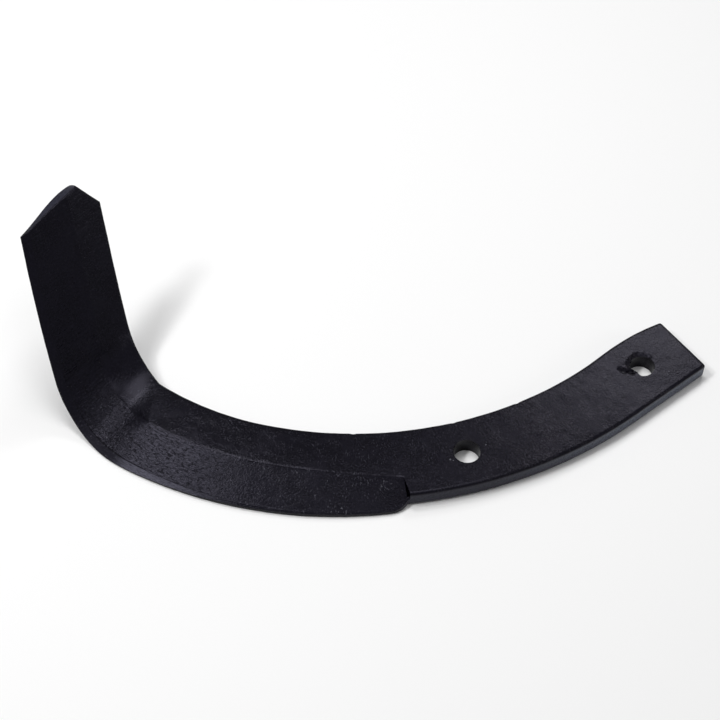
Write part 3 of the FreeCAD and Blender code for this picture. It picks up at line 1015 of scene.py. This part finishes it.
    def edge_wear(self, inner: Array, outer: Array) -> tuple[Array, Array]:
        """How far the inner and outer edges stand back from their clean lines.

        Args:
            inner: Clean points of the inner edge.
            outer: Clean points of the outer edge.

        Returns:
            Distances for the inner and the outer edge.
        """
        inner_wear, outer_wear = (
            self.edge_heave * EDGE_HEAVE.raised(edge) + chipping * EDGE_CHIPPING.raised(edge)
            for edge, chipping in ((inner, self.inner_chipping), (outer, self.outer_chipping)))
        for x, y, radius, depth in self.nicks:
            inner_wear = inner_wear + depth * bump_at(inner, (x, y), radius)
        for wear, edge in ((inner_wear, inner), (outer_wear, outer)):
            gap = np.linalg.norm(edge - edge[-1], axis=1)
            left = np.maximum(0.0, self.corner_rounding - gap)
            wear += self.corner_rounding - np.sqrt(self.corner_rounding**2 - left**2)
        return inner_wear, outer_wear

    def crack_lines(self, place: Array, crack: Array, shank: Array) -> tuple[Array, Array]:
        """Move the first lines of the shank aside for the crack at the notch, and set heights.

        Args:
            place: Plan positions, lines by columns.
            crack: -1 and -2 for the crack's two floor lines, and the share of its width beyond them.
            shank: True for lines that belong to the shank.

        Returns:
            Positions with the crack opened, and the clean height of the top face at each.
        """
        blank = self.blank
        flat = place.reshape(-1, 2)
        distance = np.linalg.norm(place - blank.centre, axis=-1)
        foot = blank.inner_radius + blank.shank_width_notch
        start = blank.inner_radius + blank.notch_ridge_from_inner
        open_share = np.clip((distance - start) / (foot - start), 0.0, self.crack_overrun)
        side = np.array([-blank.ray(blank.notch_angle)[1], blank.ray(blank.notch_angle)[0]])
        push = np.where(crack == -1.0, 0.0, np.where(crack == -2.0, 1.0, crack))
        moved = place + (open_share * push[:, None] * self.crack_width)[..., None] * side
        full = self.relief.face_height(flat, np.repeat(shank, place.shape[1])).reshape(place.shape[:2])
        in_crack = (crack < 0)[:, None] & (open_share > 0)
        closed = smooth_step(*self.crack_closes, distance - foot)
        floor = self.relief.crack_floor + (self.crack_lump - self.relief.crack_floor) * closed
        return moved, np.where(in_crack, np.minimum(floor, full), full)

    def end_drop(self, lines: int) -> Array:
        """How far the top and back faces close in over the softened ends.

        Args:
            lines: Number of lines across the bar.

        Returns:
            Distance for each line, 0 between the ends.
        """
        turn = np.radians(np.linspace(0.0, 90.0, self.arc_rows))
        drop = np.zeros(lines)
        drop[: self.arc_rows] = self.tip_rounding * (1 - np.sin(turn))
        drop[-self.arc_rows:] = (self.edge_rounding * (1 - np.sin(turn)))[::-1]
        return drop

    def wall(self, edge: Array, inward: Array, rounding: Array, full: Array,
             face: Array) -> tuple[Array, Array]:
        """Side wall of each section from its top rounding down to its lower one.

        Args:
            edge: Plan positions of the wall, one for each line; not used.
            inward: Unit vectors into the bar.
            rounding: Radius of the softened corners.
            full: Height of the top face beside the wall.
            face: Plan positions at which the top face ends.

        Returns:
            Plan positions and heights, lines by rows.
        """
        radius = np.minimum(rounding, self.corner_most * full)
        turn = np.radians(np.linspace(90.0, 0.0, self.arc_rows))
        offset = rounding[:, None] * (1 - np.cos(turn))
        high = full[:, None] - radius[:, None] * (1 - np.sin(turn))
        share = np.linspace(0.0, 1.0, self.wall_rows)[1:-1]
        straight = (full - radius)[:, None] * (1 - share) + radius[:, None] * share
        low = radius[:, None] * (1 - np.sin(turn[::-1]))
        offsets = np.concatenate([offset, np.zeros_like(straight), offset[:, ::-1]], axis=1)
        levels = np.concatenate([high, straight, low], axis=1)
        base = face - rounding[:, None] * inward
        return base[:, None, :] + offsets[..., None] * inward[:, None, :], levels

    def add_sheet(self, place: Array, level: Array, full: Array, drop: Array) -> Array:
        """Add a sheet of points, closed in by the ends' softening.

        Args:
            place: Plan positions, rows by columns.
            level: Height of each point in a bar of full thickness.
            full: Thickness of the bar at each point.
            drop: How far each row is closed in.

        Returns:
            Point numbers, rows by columns.
        """
        closed = drop[:, None] + level * (full - 2 * drop[:, None]) / full
        points = np.column_stack([place.reshape(-1, 2), closed.reshape(-1), full.reshape(-1)])
        return self.sheets.add_points(points).reshape(level.shape)

    def build_end(self, line: int, place: Array, full: Array, side_in: tuple[Array, Array],
                  side_out: tuple[Array, Array], drop: float, flip: bool) -> None:
        """End face of the bar, spanned between its two side walls.

        Args:
            line: Number of the line at which the bar ends.
            place: Plan positions along it.
            full: Thickness of the bar along it.
            side_in: Positions and heights of the inner side wall.
            side_out: Positions and heights of the outer side wall.
            drop: How far the faces are closed in there.
            flip: Turn the faces over.
        """
        share = np.linspace(1.0, 0.0, side_in[1].shape[1])
        across = np.linspace(0.0, 1.0, len(place))
        fraction_in = side_in[1][line] / full[0]
        fraction_out = side_out[1][line] / full[-1]
        level = (fraction_in[:, None] * (1 - across) + fraction_out[:, None] * across) * full
        level[0], level[-1] = full, 0.0
        spread = np.repeat(place[None], len(share), axis=0)
        spread[:, 0], spread[:, -1] = side_in[0][line], side_out[0][line]
        heights = np.repeat(full[None], len(share), axis=0)
        grid = self.add_sheet(spread, level, heights, np.full(len(share), drop))
        self.sheets.add_grid(grid, flip)

    def build_holes(self, place: Array, full: Array, top: Array, back: Array) -> Array:
        """Rings of faces round each bolt hole, and its wall.

        Args:
            place: Plan positions of the top face, lines by columns.
            full: Thickness of the bar at each.
            top: Point numbers of the top face.
            back: Point numbers of the back face.

        Returns:
            True for each cell of the faces that the rings take the place of.
        """
        taken = np.zeros((place.shape[0] - 1, place.shape[1] - 1), bool)
        for hole in self.holes:
            gap = hole.distance(place.reshape(-1, 2)).reshape(place.shape[:2])
            near = np.argwhere(gap < hole.margin)
            (first, left), (last, right) = near.min(axis=0), near.max(axis=0)
            taken[first:last, left:right] = True
            loop = ([(first, j) for j in range(left, right)] + [(i, right) for i in range(first, last)]
                    + [(last, j) for j in range(right, left, -1)]
                    + [(i, left) for i in range(last, first, -1)])
            lines, columns = np.array(loop + loop[:1]).T
            border = place[lines, columns]
            centre = np.array(hole.place)
            direction = (border - centre) / np.linalg.norm(border - centre, axis=1)[:, None]
            rim = centre + hole.radius * direction
            thick = full[first, left]
            rings = np.stack([rim + (border - rim) * share for share in self.rim_shares])
            shape = rings.shape[:2]
            level = np.full(shape, thick)
            still = np.zeros(shape[0])
            upper = np.vstack([self.add_sheet(rings, level, level, still), top[lines, columns]])
            lower = np.vstack([self.add_sheet(rings, level * 0, level, still), back[lines, columns]])
            self.sheets.add_grid(upper, False)
            self.sheets.add_grid(lower, True)
            depth = np.linspace(1.0, 0.0, self.bore_rows)
            bore = self.add_sheet(np.repeat(rim[None], len(depth), axis=0), depth[:, None] * level[:1],
                                  np.repeat(level[:1], len(depth), axis=0), np.zeros(len(depth)))
            self.sheets.add_grid(bore, True)
        return taken

    def worn(self, points: Array) -> Array:
        """Lower the top face and raise the back face by what forging and use took from them.

        Args:
            points: Plan position, height and full thickness, one row for each point.

        Returns:
            Worn plan positions and heights.
        """
        place, level, full = points[:, :2], points[:, 2], points[:, 3]
        top = self.relief.depth(place) * smooth_step(0.0, self.thin_edge, full)
        back = np.minimum(self.back_heave * BACK_SKIN.raised(place), self.back_most * full)
        level = level * (1 - top / full)
        level = level + back * (1 - level / full)
        return np.column_stack([self.burred(place, level), level])

    def burred(self, place: Array, level: Array) -> Array:
        """Push the torn rim of the outer hole into its bore as a burr.

        Args:
            place: Plan positions.
            level: Height of each.

        Returns:
            Moved plan positions.
        """
        hole = self.holes[1]
        offset = place - np.array(hole.place)
        distance = np.linalg.norm(offset, axis=1)
        turn = np.degrees(np.arctan2(offset[:, 1], offset[:, 0])) % 360
        sideways = 1 - smooth_step(0.0, self.burr_spread, np.abs(turn - self.burr_angle))
        near_rim = 1 - smooth_step(0.0, self.burr_width, distance - hole.radius)
        deep = smooth_step(*self.burr_levels, level)
        ragged = 1 + self.burr_raggedness * BURR_TEETH.height(place)
        push = (self.burr_length * sideways * deep * ragged + self.lip_growth * ragged) * near_rim
        push = push * (distance > hole.radius - self.burr_bore_reach)
        return place - offset / np.maximum(distance, 1e-9)[:, None] * push[:, None]

    def mark_zones(self, mesh: bpy.types.Mesh, points: Array) -> None:
        """Store on the mesh where the bevel, the strip, the side walls and the fold are.

        Args:
            mesh: Mesh of the bar.
            points: Clean plan position, height and full thickness, one row for each point.
        """
        place, share, full = points[:, :2], points[:, 2] / points[:, 3], points[:, 3]
        lay = self.relief.lay(place)
        upper = smooth_step(*self.face_band, share)
        clear = smooth_step(*self.hole_band, np.minimum(*(hole.distance(place) for hole in self.holes)))
        wall = smooth_step(*self.wall_top_band, 1 - share) * smooth_step(*self.wall_foot_band, share)
        values = {Zone.BEVEL: self.relief.bevel_share(lay) * upper,
                  Zone.STRIP: self.relief.strip_share(lay) * upper,
                  Zone.WALL: wall * clear * smooth_step(*self.wall_height_band, full),
                  Zone.FOLD: lay.between(*self.painted_fold)}
        for zone, value in values.items():
            stored = mesh.attributes.new(zone.value, "FLOAT", "POINT")
            stored.data.foreach_set("value", value.astype(np.float32))

    def crease(self, form: bmesh.types.BMesh) -> None:
        """Mark the hard edges: the sharp corners, and the crisp part of the ridge.

        Args:
            form: Mesh with the place along the bar and the bevel's share on its points.
        """
        ruled = form.verts.layers.float_vector["bar_place"]
        share = form.verts.layers.float[Zone.BEVEL.value]
        low, high = self.crest_shares
        for edge in form.edges:
            on_crest = all(point[ruled].x > self.crest_start and low < point[share] < high
                           for point in edge.verts)
            limit = math.radians(self.crest_limit if on_crest else self.corner_limit)
            edge.smooth = not edge.is_manifold or edge.calc_face_angle(0.0) < limit

    def build(self) -> bpy.types.Object:
        """Build the bar's mesh, bent to shape.

        Returns:
            The finished object, in metres.
        """
        self.build_sections()
        clean = np.concatenate(self.sheets.points)
        points = self.worn(clean)
        bent = self.bend.carry(points[:, :2], points[:, 2]) * MM
        faces = np.concatenate(self.sheets.faces)
        mesh = bpy.data.meshes.new("forged_bar")
        mesh.from_pydata(bent.tolist(), [], faces.tolist())
        lay = self.relief.lay(clean[:, :2])
        ruled = np.column_stack([lay.along, lay.from_centre, clean[:, 2]])
        for name, value in (("blank_place", clean[:, :3]), ("bar_place", ruled)):
            stored = mesh.attributes.new(name, "FLOAT_VECTOR", "POINT")
            stored.data.foreach_set("vector", value.astype(np.float32).ravel())
        self.mark_zones(mesh, clean)
        form = bmesh.new()
        form.from_mesh(mesh)
        bmesh.ops.remove_doubles(form, verts=form.verts[:], dist=WELD_DISTANCE)
        bmesh.ops.dissolve_degenerate(form, edges=form.edges[:], dist=SLIVER_LENGTH)
        bmesh.ops.recalc_face_normals(form, faces=form.faces[:])
        self.crease(form)
        for face in form.faces:
            face.smooth = True
        form.to_mesh(mesh)
        open_edges = sum(not edge.is_manifold for edge in form.edges)
        form.free()
        log.info("bar: %d points, %d faces, %d open edges",
                 len(mesh.vertices), len(mesh.polygons), open_edges)
        bar = bpy.data.objects.new("forged_bar", mesh)
        bpy.context.scene.collection.objects.link(bar)
        return bar

    def dress(self, bar: bpy.types.Object) -> None:
        """Give the bar its paint."""
        bar.data.materials.append(SatinBlackPaint().material())


class Signal:
    """Output socket of a shader node, with arithmetic that adds Math nodes."""

    def __init__(self, bench: "ShaderBench", socket: bpy.types.NodeSocket) -> None:
        """Hold an output socket and the bench that its tree is on."""
        self.bench = bench
        self.socket = socket

    def math(self, operation: str, *others: "Signal | float") -> "Signal":
        """Math node with this signal as its first value."""
        values = dict(enumerate((self, *others)))
        return self.bench.node("ShaderNodeMath", {"operation": operation}, values)

    def __add__(self, other: "Signal | float") -> "Signal":
        """Sum."""
        return self.math("ADD", other)

    __radd__ = __add__

    def __mul__(self, other: "Signal | float") -> "Signal":
        """Product."""
        return self.math("MULTIPLY", other)

    __rmul__ = __mul__

    def __sub__(self, other: "Signal | float") -> "Signal":
        """Difference."""
        return self.math("SUBTRACT", other)

    def __rsub__(self, other: float) -> "Signal":
        """Difference from a number."""
        return self.bench.node("ShaderNodeMath", {"operation": "SUBTRACT"}, {0: other, 1: self})

    def ramp(self, low: float, high: float, to_low: float = 0.0, to_high: float = 1.0) -> "Signal":
        """Smooth change from one value to another between two levels of this signal."""
        return self.bench.node("ShaderNodeMapRange", {"interpolation_type": "SMOOTHSTEP", "clamp": True},
                               {"Value": self, "From Min": low, "From Max": high,
                                "To Min": to_low, "To Max": to_high})


class ShaderBench:
    """Node tree of a material or of the world, with one method that adds any node."""

    def __init__(self, owner: bpy.types.Material | bpy.types.World) -> None:
        """Start an empty tree.

        Args:
            owner: Material or world that the tree belongs to.
        """
        owner.use_nodes = True
        self.tree = owner.node_tree
        self.tree.nodes.clear()

    def node(self, kind: str, settings: dict[str, Any] | None = None,
             values: dict[Any, Any] | None = None, output: Any = 0) -> Signal:
        """Add a node.

        Args:
            kind: Type of the node.
            settings: Its own settings, which are set first.
            values: Values or signals for its sockets, by name or number.
            output: Name or number of the output that is returned.

        Returns:
            The chosen output.
        """
        node = self.tree.nodes.new(kind)
        for name, value in (settings or {}).items():
            setattr(node, name, value)
        for name, value in (values or {}).items():
            socket = node.inputs[name]
            if isinstance(value, Signal):
                self.tree.links.new(value.socket, socket)
            else:
                socket.default_value = value
        return Signal(self, node.outputs[output])

    def blend(self, share: Signal | float, first: Any, second: Any) -> Signal:
        """Colour that goes from the first to the second with a share."""
        return self.node("ShaderNodeMix", {"data_type": "RGBA", "clamp_factor": True},
                         {0: share, 6: first, 7: second}, 2)

    def finish(self, surface: Signal, kind: str = "ShaderNodeOutputMaterial") -> None:
        """Connect a surface to a new output node of the tree."""
        output = self.tree.nodes.new(kind)
        self.tree.links.new(surface.socket, output.inputs["Surface"])


@dataclass(frozen=True)
class PaintNoise:
    """One noise of the paint; scale is per millimetre, and stretch along and across the bar."""

    scale: float
    detail: float = 2.0
    roughness: float = 0.5
    stretch: Span = (1.0, 1.0)

    def at(self, place: Signal) -> Signal:
        """Add the noise to a tree.

        Args:
            place: Place on the bar, or in the blank where the noise isn't stretched.

        Returns:
            Values of about 0 to 1.
        """
        bench = place.bench
        if self.stretch != (1.0, 1.0):
            place = bench.node("ShaderNodeVectorMath", {"operation": "MULTIPLY"},
                               {0: place, 1: (*self.stretch, 1.0)}, "Vector")
        return bench.node("ShaderNodeTexNoise", {},
                          {"Vector": place, "Scale": self.scale, "Detail": self.detail,
                           "Roughness": self.roughness})


@dataclass(frozen=True)
class SatinBlackPaint:
    """Thin satin black paint over rough forged steel.

    Each span holds two places along the bar, in millimetres from the fold line, between which something
    starts or stops.
    """

    colour: Colour = (0.0014, 0.0012, 0.0026, 1.0)
    dusty_colour: Colour = (0.0028, 0.0025, 0.0050, 1.0)
    bevel_colour: Colour = (0.0052, 0.0048, 0.0084, 1.0)
    # Painted highlight, partly the bevel's real streaky grey: lighter tone on the bevel beside the fold,
    # standing in for the light on it.
    ridged_grey_and_highlight_colour: Colour = (0.0400, 0.0390, 0.0520, 1.0)
    # Painted highlight, partly the strip's own lighter grey: lighter tone along the sharpened strip beside
    # the fold.
    strip_grey_and_highlight_colour: Colour = (0.0680, 0.0670, 0.0880, 1.0)
    dust_colour: Colour = (0.0260, 0.0255, 0.0330, 1.0)
    # Painted reflection of the pale floor: lighter tone on the side walls, more so towards the shank's end.
    wall_reflection_colour: Colour = (0.0240, 0.0240, 0.0360, 1.0)
    end_wall_reflection_colour: Colour = (0.0900, 0.1000, 0.1300, 1.0)
    scuff_colour: Colour = (0.0230, 0.0210, 0.0240, 1.0)
    speck_colour: Colour = (0.090, 0.092, 0.106, 1.0)
    # Dark tone of the pits, and painted shade in the groove between the strip and the bevel.
    pit_and_groove_shade_colour: Colour = (0.0009, 0.0008, 0.0014, 1.0)
    sheen_tint: Colour = (0.82, 0.79, 1.0, 1.0)
    specular: float = 0.095
    roughness: float = 0.215
    skin_height: float = 0.00045
    top_level: float = 9.0
    mottling: PaintNoise = PaintNoise(0.09, 4.0, 0.55)
    graining: PaintNoise = PaintNoise(1.15, 2.0, 0.6)
    streaking: PaintNoise = PaintNoise(1.8, 2.0, 0.6, (0.28, 1.0))
    rippling: PaintNoise = PaintNoise(1.1, 2.0, 0.6, (1.0, 0.16))
    worming: PaintNoise = PaintNoise(1.0, 2.0, 0.5, (0.5, 1.0))
    specking: PaintNoise = PaintNoise(1.25, 1.0, 0.5, (1.0, 0.5))
    patching: PaintNoise = PaintNoise(0.16, 2.0, 0.5)
    blade_starts: Span = (-32.0, -2.0)
    smooth_starts: Span = (-6.0, 20.0)
    smooth_stops: Span = (95.0, 165.0)
    # Span along the bar of the painted highlight on the bevel.
    rubbed_highlight_starts: Span = (2.0, 20.0)
    rubbed_highlight_stops: Span = (30.0, 72.0)
    # Span along the bar of the painted highlight on the strip.
    strip_highlight_starts: Span = (5.0, 17.0)
    strip_highlight_stops: Span = (22.0, 74.0)
    heel_stops: Span = (4.0, 22.0)
    scuffs_start: Span = (165.0, 225.0)
    # Span over which the painted reflection on the side walls grows lighter.
    end_wall_reflection_starts: Span = (185.0, 275.0)
    chips: tuple[tuple[float, float, float], ...] = (
        (-39.3, -1.3, 0.36), (-38.5, -0.2, 0.25), (-57.7, -0.2, 0.36), (-56.8, -1.2, 0.25),
        (53.4, -3.0, 0.35), (53.9, 0.1, 0.30), (56.4, -10.0, 0.30), (39.0, 1.9, 0.60), (57.8, -9.0, 0.25))

    def chipped(self, place: Signal, ragged: Signal) -> Signal:
        """Add the bare chips to a tree.

        Args:
            place: Place in the blank.
            ragged: Share by which their outlines grow and shrink.

        Returns:
            1 in the chips and 0 elsewhere.
        """
        total: Signal | float = 0.0
        for x, y, radius in self.chips:
            distance = place.bench.node("ShaderNodeVectorMath", {"operation": "DISTANCE"},
                                        {0: place, 1: (x, y, self.top_level)}, "Value")
            total = (distance - ragged * radius).ramp(-0.1 * radius, 0.3 * radius, 1.0, 0.0) + total
        return total

    def material(self) -> bpy.types.Material:
        """Paint with grain, mottling, streaks, pits and bare specks, heavier on the forged bevel, with
        painted highlights on the bevel and the strip beside the fold, painted shade in the groove and
        painted reflection on the side walls.

        Returns:
            The finished material.
        """
        paint = bpy.data.materials.new("satin_black_paint")
        bench = ShaderBench(paint)
        place, ruled = (bench.node("ShaderNodeAttribute", {"attribute_name": name}, output="Vector")
                        for name in ("blank_place", "bar_place"))
        bevel, strip, wall, fold = (
            bench.node("ShaderNodeAttribute", {"attribute_name": zone.value}, output="Fac")
            for zone in (Zone.BEVEL, Zone.STRIP, Zone.WALL, Zone.FOLD))
        mottle, grain, patches = (noise.at(place) for noise in (self.mottling, self.graining, self.patching))
        streaks, ripples, worms, specks = (
            noise.at(ruled) for noise in (self.streaking, self.rippling, self.worming, self.specking))
        along = bench.node("ShaderNodeSeparateXYZ", {}, {0: ruled}, 0)
        blade = along.ramp(*self.blade_starts)
        near_fold = bevel * fold
        smooth = along.ramp(*self.smooth_starts) * (1 - along.ramp(*self.smooth_stops)) * (1 - bevel)
        # Painted highlight on the bevel, partly real streaky grey: where it stands along the bar.
        rubbed_highlight = along.ramp(*self.rubbed_highlight_starts) * (1 - along.ramp(*self.rubbed_highlight_stops))
        # Painted highlight on the strip: where it stands along the bar.
        strip_highlight = along.ramp(*self.strip_highlight_starts) * (1 - along.ramp(*self.strip_highlight_stops))
        heel = strip * (1 - along.ramp(*self.heel_stops))
        pitted = worms.ramp(0.60, 0.66) * near_fold * (1 - strip)
        # Painted shade in the groove between the strip and the bevel, besides its bump.
        groove = strip.ramp(0.10, 0.40) * (1 - strip.ramp(0.45, 0.75)) * fold * blade
        dust = specks.ramp(0.59, 0.68) * patches.ramp(0.40, 0.62, 0.15, 1.0) * blade
        scuffs = (patches.ramp(0.35, 0.65) * grain.ramp(0.46, 0.60) * along.ramp(*self.scuffs_start)
                  * (1 - wall))
        bare = (specks.ramp(0.71, 0.75) * patches.ramp(0.48, 0.62) * bevel * blade
                + self.chipped(place, grain.ramp(0.3, 0.7, 0.4, 1.4)))

        # Painted reflection on the side walls, lighter towards the shank's end.
        side = bench.blend(along.ramp(*self.end_wall_reflection_starts), self.wall_reflection_colour, self.end_wall_reflection_colour)
        tone = bench.blend(mottle.ramp(0.35, 0.70), self.colour, self.dusty_colour)
        coats = ((grain.ramp(0.48, 0.66) * (1 - smooth) * 0.8, self.bevel_colour),
                 # Painted highlight, partly real streaky grey, on the bevel beside the fold.
                 (bevel * rubbed_highlight * streaks.ramp(0.38, 0.62), self.ridged_grey_and_highlight_colour),
                 # Painted highlight along the sharpened strip.
                 (strip * strip_highlight * streaks.ramp(0.30, 0.55, 0.45, 1.0), self.strip_grey_and_highlight_colour),
                 (pitted * 0.9, self.pit_and_groove_shade_colour),
                 # Painted shade in the groove.
                 (groove * 0.9, self.pit_and_groove_shade_colour),
                 # Painted reflection on the side walls.
                 (wall * grain.ramp(0.30, 0.60, 0.55, 1.0), side),
                 (dust * (bevel * 0.4 + 0.6), self.dust_colour),
                 (scuffs * 0.45, self.scuff_colour),
                 (bare, self.speck_colour))
        for share, coat in coats:
            tone = bench.blend(share, tone, coat)

        rough = (grain * 0.12 + (self.roughness - 0.10) + pitted * 0.25 + bevel * 0.03 + heel * 0.20
                 - smooth * 0.04)
        height = (grain * 0.16 + (grain - 0.5) * bevel * blade * 0.26
                  + (streaks - 0.5) * near_fold * blade * 0.60
                  + (1 - blade) * (bevel * 0.8 + 0.2) * (ripples - 0.5) * 0.8
                  - pitted * 0.5 + bare * 0.3 - groove * 0.9)
        skin = bench.node("ShaderNodeBump", {},
                          {"Strength": 1.0, "Distance": self.skin_height, "Height": height}, "Normal")
        surface = bench.node("ShaderNodeBsdfPrincipled", {},
                             {"Base Color": tone, "Roughness": rough, "Normal": skin,
                              "Specular IOR Level": self.specular, "Specular Tint": self.sheen_tint}, "BSDF")
        bench.finish(surface)
        return paint


@dataclass(frozen=True)
class StudioFloor:
    """Plain matt pale floor."""

    colour: Colour = (0.96, 0.96, 0.96, 1.0)
    roughness: float = 0.9
    specular: float = 0.1

    def material(self) -> bpy.types.Material:
        """Matt pale floor of one tone.

        Returns:
            The finished material.
        """
        matt = bpy.data.materials.new("pale_floor")
        bench = ShaderBench(matt)
        surface = bench.node("ShaderNodeBsdfPrincipled", {},
                             {"Base Color": self.colour, "Roughness": self.roughness,
                              "Specular IOR Level": self.specular}, "BSDF")
        bench.finish(surface)
        return matt


@dataclass
class Studio:
    """Floor, world, lamps and camera."""

    target: tuple[float, float, float] = (-62.6, 74.5, 0.0)
    azimuth: float = 330.4
    elevation: float = 54.0
    distance: float = 817.7
    lens: float = 85.0
    sensor_width: float = 36.0
    nearest_seen: float = 0.05
    floor_size: float = 12.0
    floor_level: float = -0.0002
    world_light: float = 0.16
    lamp_distance: float = 1.3
    lamps: tuple[tuple[str, tuple[float, float, float], float, float], ...] = (
        ("shank_light", (0.52, 0.40, 0.75), 0.26, 1.8),
        ("bevel_light", (-0.40, 0.22, 0.89), 0.26, 4.2),
        ("strip_light", (-0.56, 0.11, 0.82), 0.16, 3.3),
        ("fold_light", (0.15, 0.20, 0.97), 0.36, 3.0),
        ("ridge_light", (-0.01, 0.42, 0.91), 0.24, 2.6),
        ("heel_light", (0.06, -0.25, 0.96), 0.40, 1.4),
        ("wing_light", (0.80, -0.52, 0.30), 0.30, 1.1))

    def build(self) -> None:
        """Set up everything round the blade."""
        self.build_floor()
        self.build_world()
        for name, direction, size, power in self.lamps:
            self.build_lamp(name, direction, size, power)
        self.build_camera()

    def build_floor(self) -> None:
        """Floor just under the back face of the bar."""
        half = self.floor_size / 2
        mesh = bpy.data.meshes.new("floor")
        corners = [(x, y, self.floor_level)
                   for x, y in ((-half, -half), (half, -half), (half, half), (-half, half))]
        mesh.from_pydata(corners, [], [(0, 1, 2, 3)])
        mesh.materials.append(StudioFloor().material())
        floor = bpy.data.objects.new("floor", mesh)
        bpy.context.scene.collection.objects.link(floor)

    def build_world(self) -> None:
        """Pale background for the camera and for reflections, and a lower level for the light itself."""
        world = bpy.data.worlds.new("studio")
        bpy.context.scene.world = world
        bench = ShaderBench(world)
        camera, glossy, clear = (
            bench.node("ShaderNodeLightPath", output=name)
            for name in ("Is Camera Ray", "Is Glossy Ray", "Is Transmission Ray"))
        seen = camera.math("MAXIMUM", glossy).math("MAXIMUM", clear)
        level = bench.node("ShaderNodeBackground", {},
                           {"Color": (1.0, 1.0, 1.0, 1.0), "Strength": self.world_light})
        pale = bench.node("ShaderNodeBackground", {}, {"Strength": 1.0})
        mixed = bench.node("ShaderNodeMixShader", {}, {0: seen, 1: level, 2: pale})
        bench.finish(mixed, "ShaderNodeOutputWorld")

    def build_lamp(self, name: str, direction: Sequence[float], size: float, power: float) -> None:
        """Square soft lamp that looks at the blade from a direction.

        Args:
            name: Name of the lamp.
            direction: Direction from the blade to the lamp.
            size: Side of the lamp in metres.
            power: Power in watts.
        """
        light = bpy.data.lights.new(name, "AREA")
        light.shape = "SQUARE"
        light.size = size
        light.energy = power
        lamp = bpy.data.objects.new(name, light)
        aim = Vector(direction).normalized()
        lamp.location = Vector(self.target) * MM + aim * self.lamp_distance
        lamp.rotation_euler = aim.to_track_quat("Z", "Y").to_euler()
        bpy.context.scene.collection.objects.link(lamp)

    def build_camera(self) -> None:
        """Camera at the photograph's angle."""
        camera = bpy.data.cameras.new("camera")
        camera.lens = self.lens
        camera.sensor_width = self.sensor_width
        camera.clip_start = self.nearest_seen
        turn = math.radians(self.azimuth - 90.0)
        rise = math.radians(self.elevation)
        toward = Vector((math.cos(turn) * math.cos(rise), math.sin(turn) * math.cos(rise), math.sin(rise)))
        holder = bpy.data.objects.new("camera", camera)
        holder.location = (Vector(self.target) + toward * self.distance) * MM
        holder.rotation_euler = toward.to_track_quat("Z", "Y").to_euler()
        bpy.context.scene.collection.objects.link(holder)
        bpy.context.scene.camera = holder
        log.info("camera at %s", [round(v / MM, 1) for v in holder.location])


def main() -> None:
    """Load the frame, build and dress the blade, and set the studio round it."""
    logging.basicConfig(level=logging.INFO, format="%(message)s")
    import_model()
    blade = TillerBlade()
    bar = blade.build()
    blade.dress(bar)
    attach(bar, "root")
    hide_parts("blade")
    log.info("forged_bar rides on root and stands for the solid blade")
    Studio().build()
    bpy.context.scene.view_settings.view_transform = "Standard"


if __name__ == "__main__":
    main()
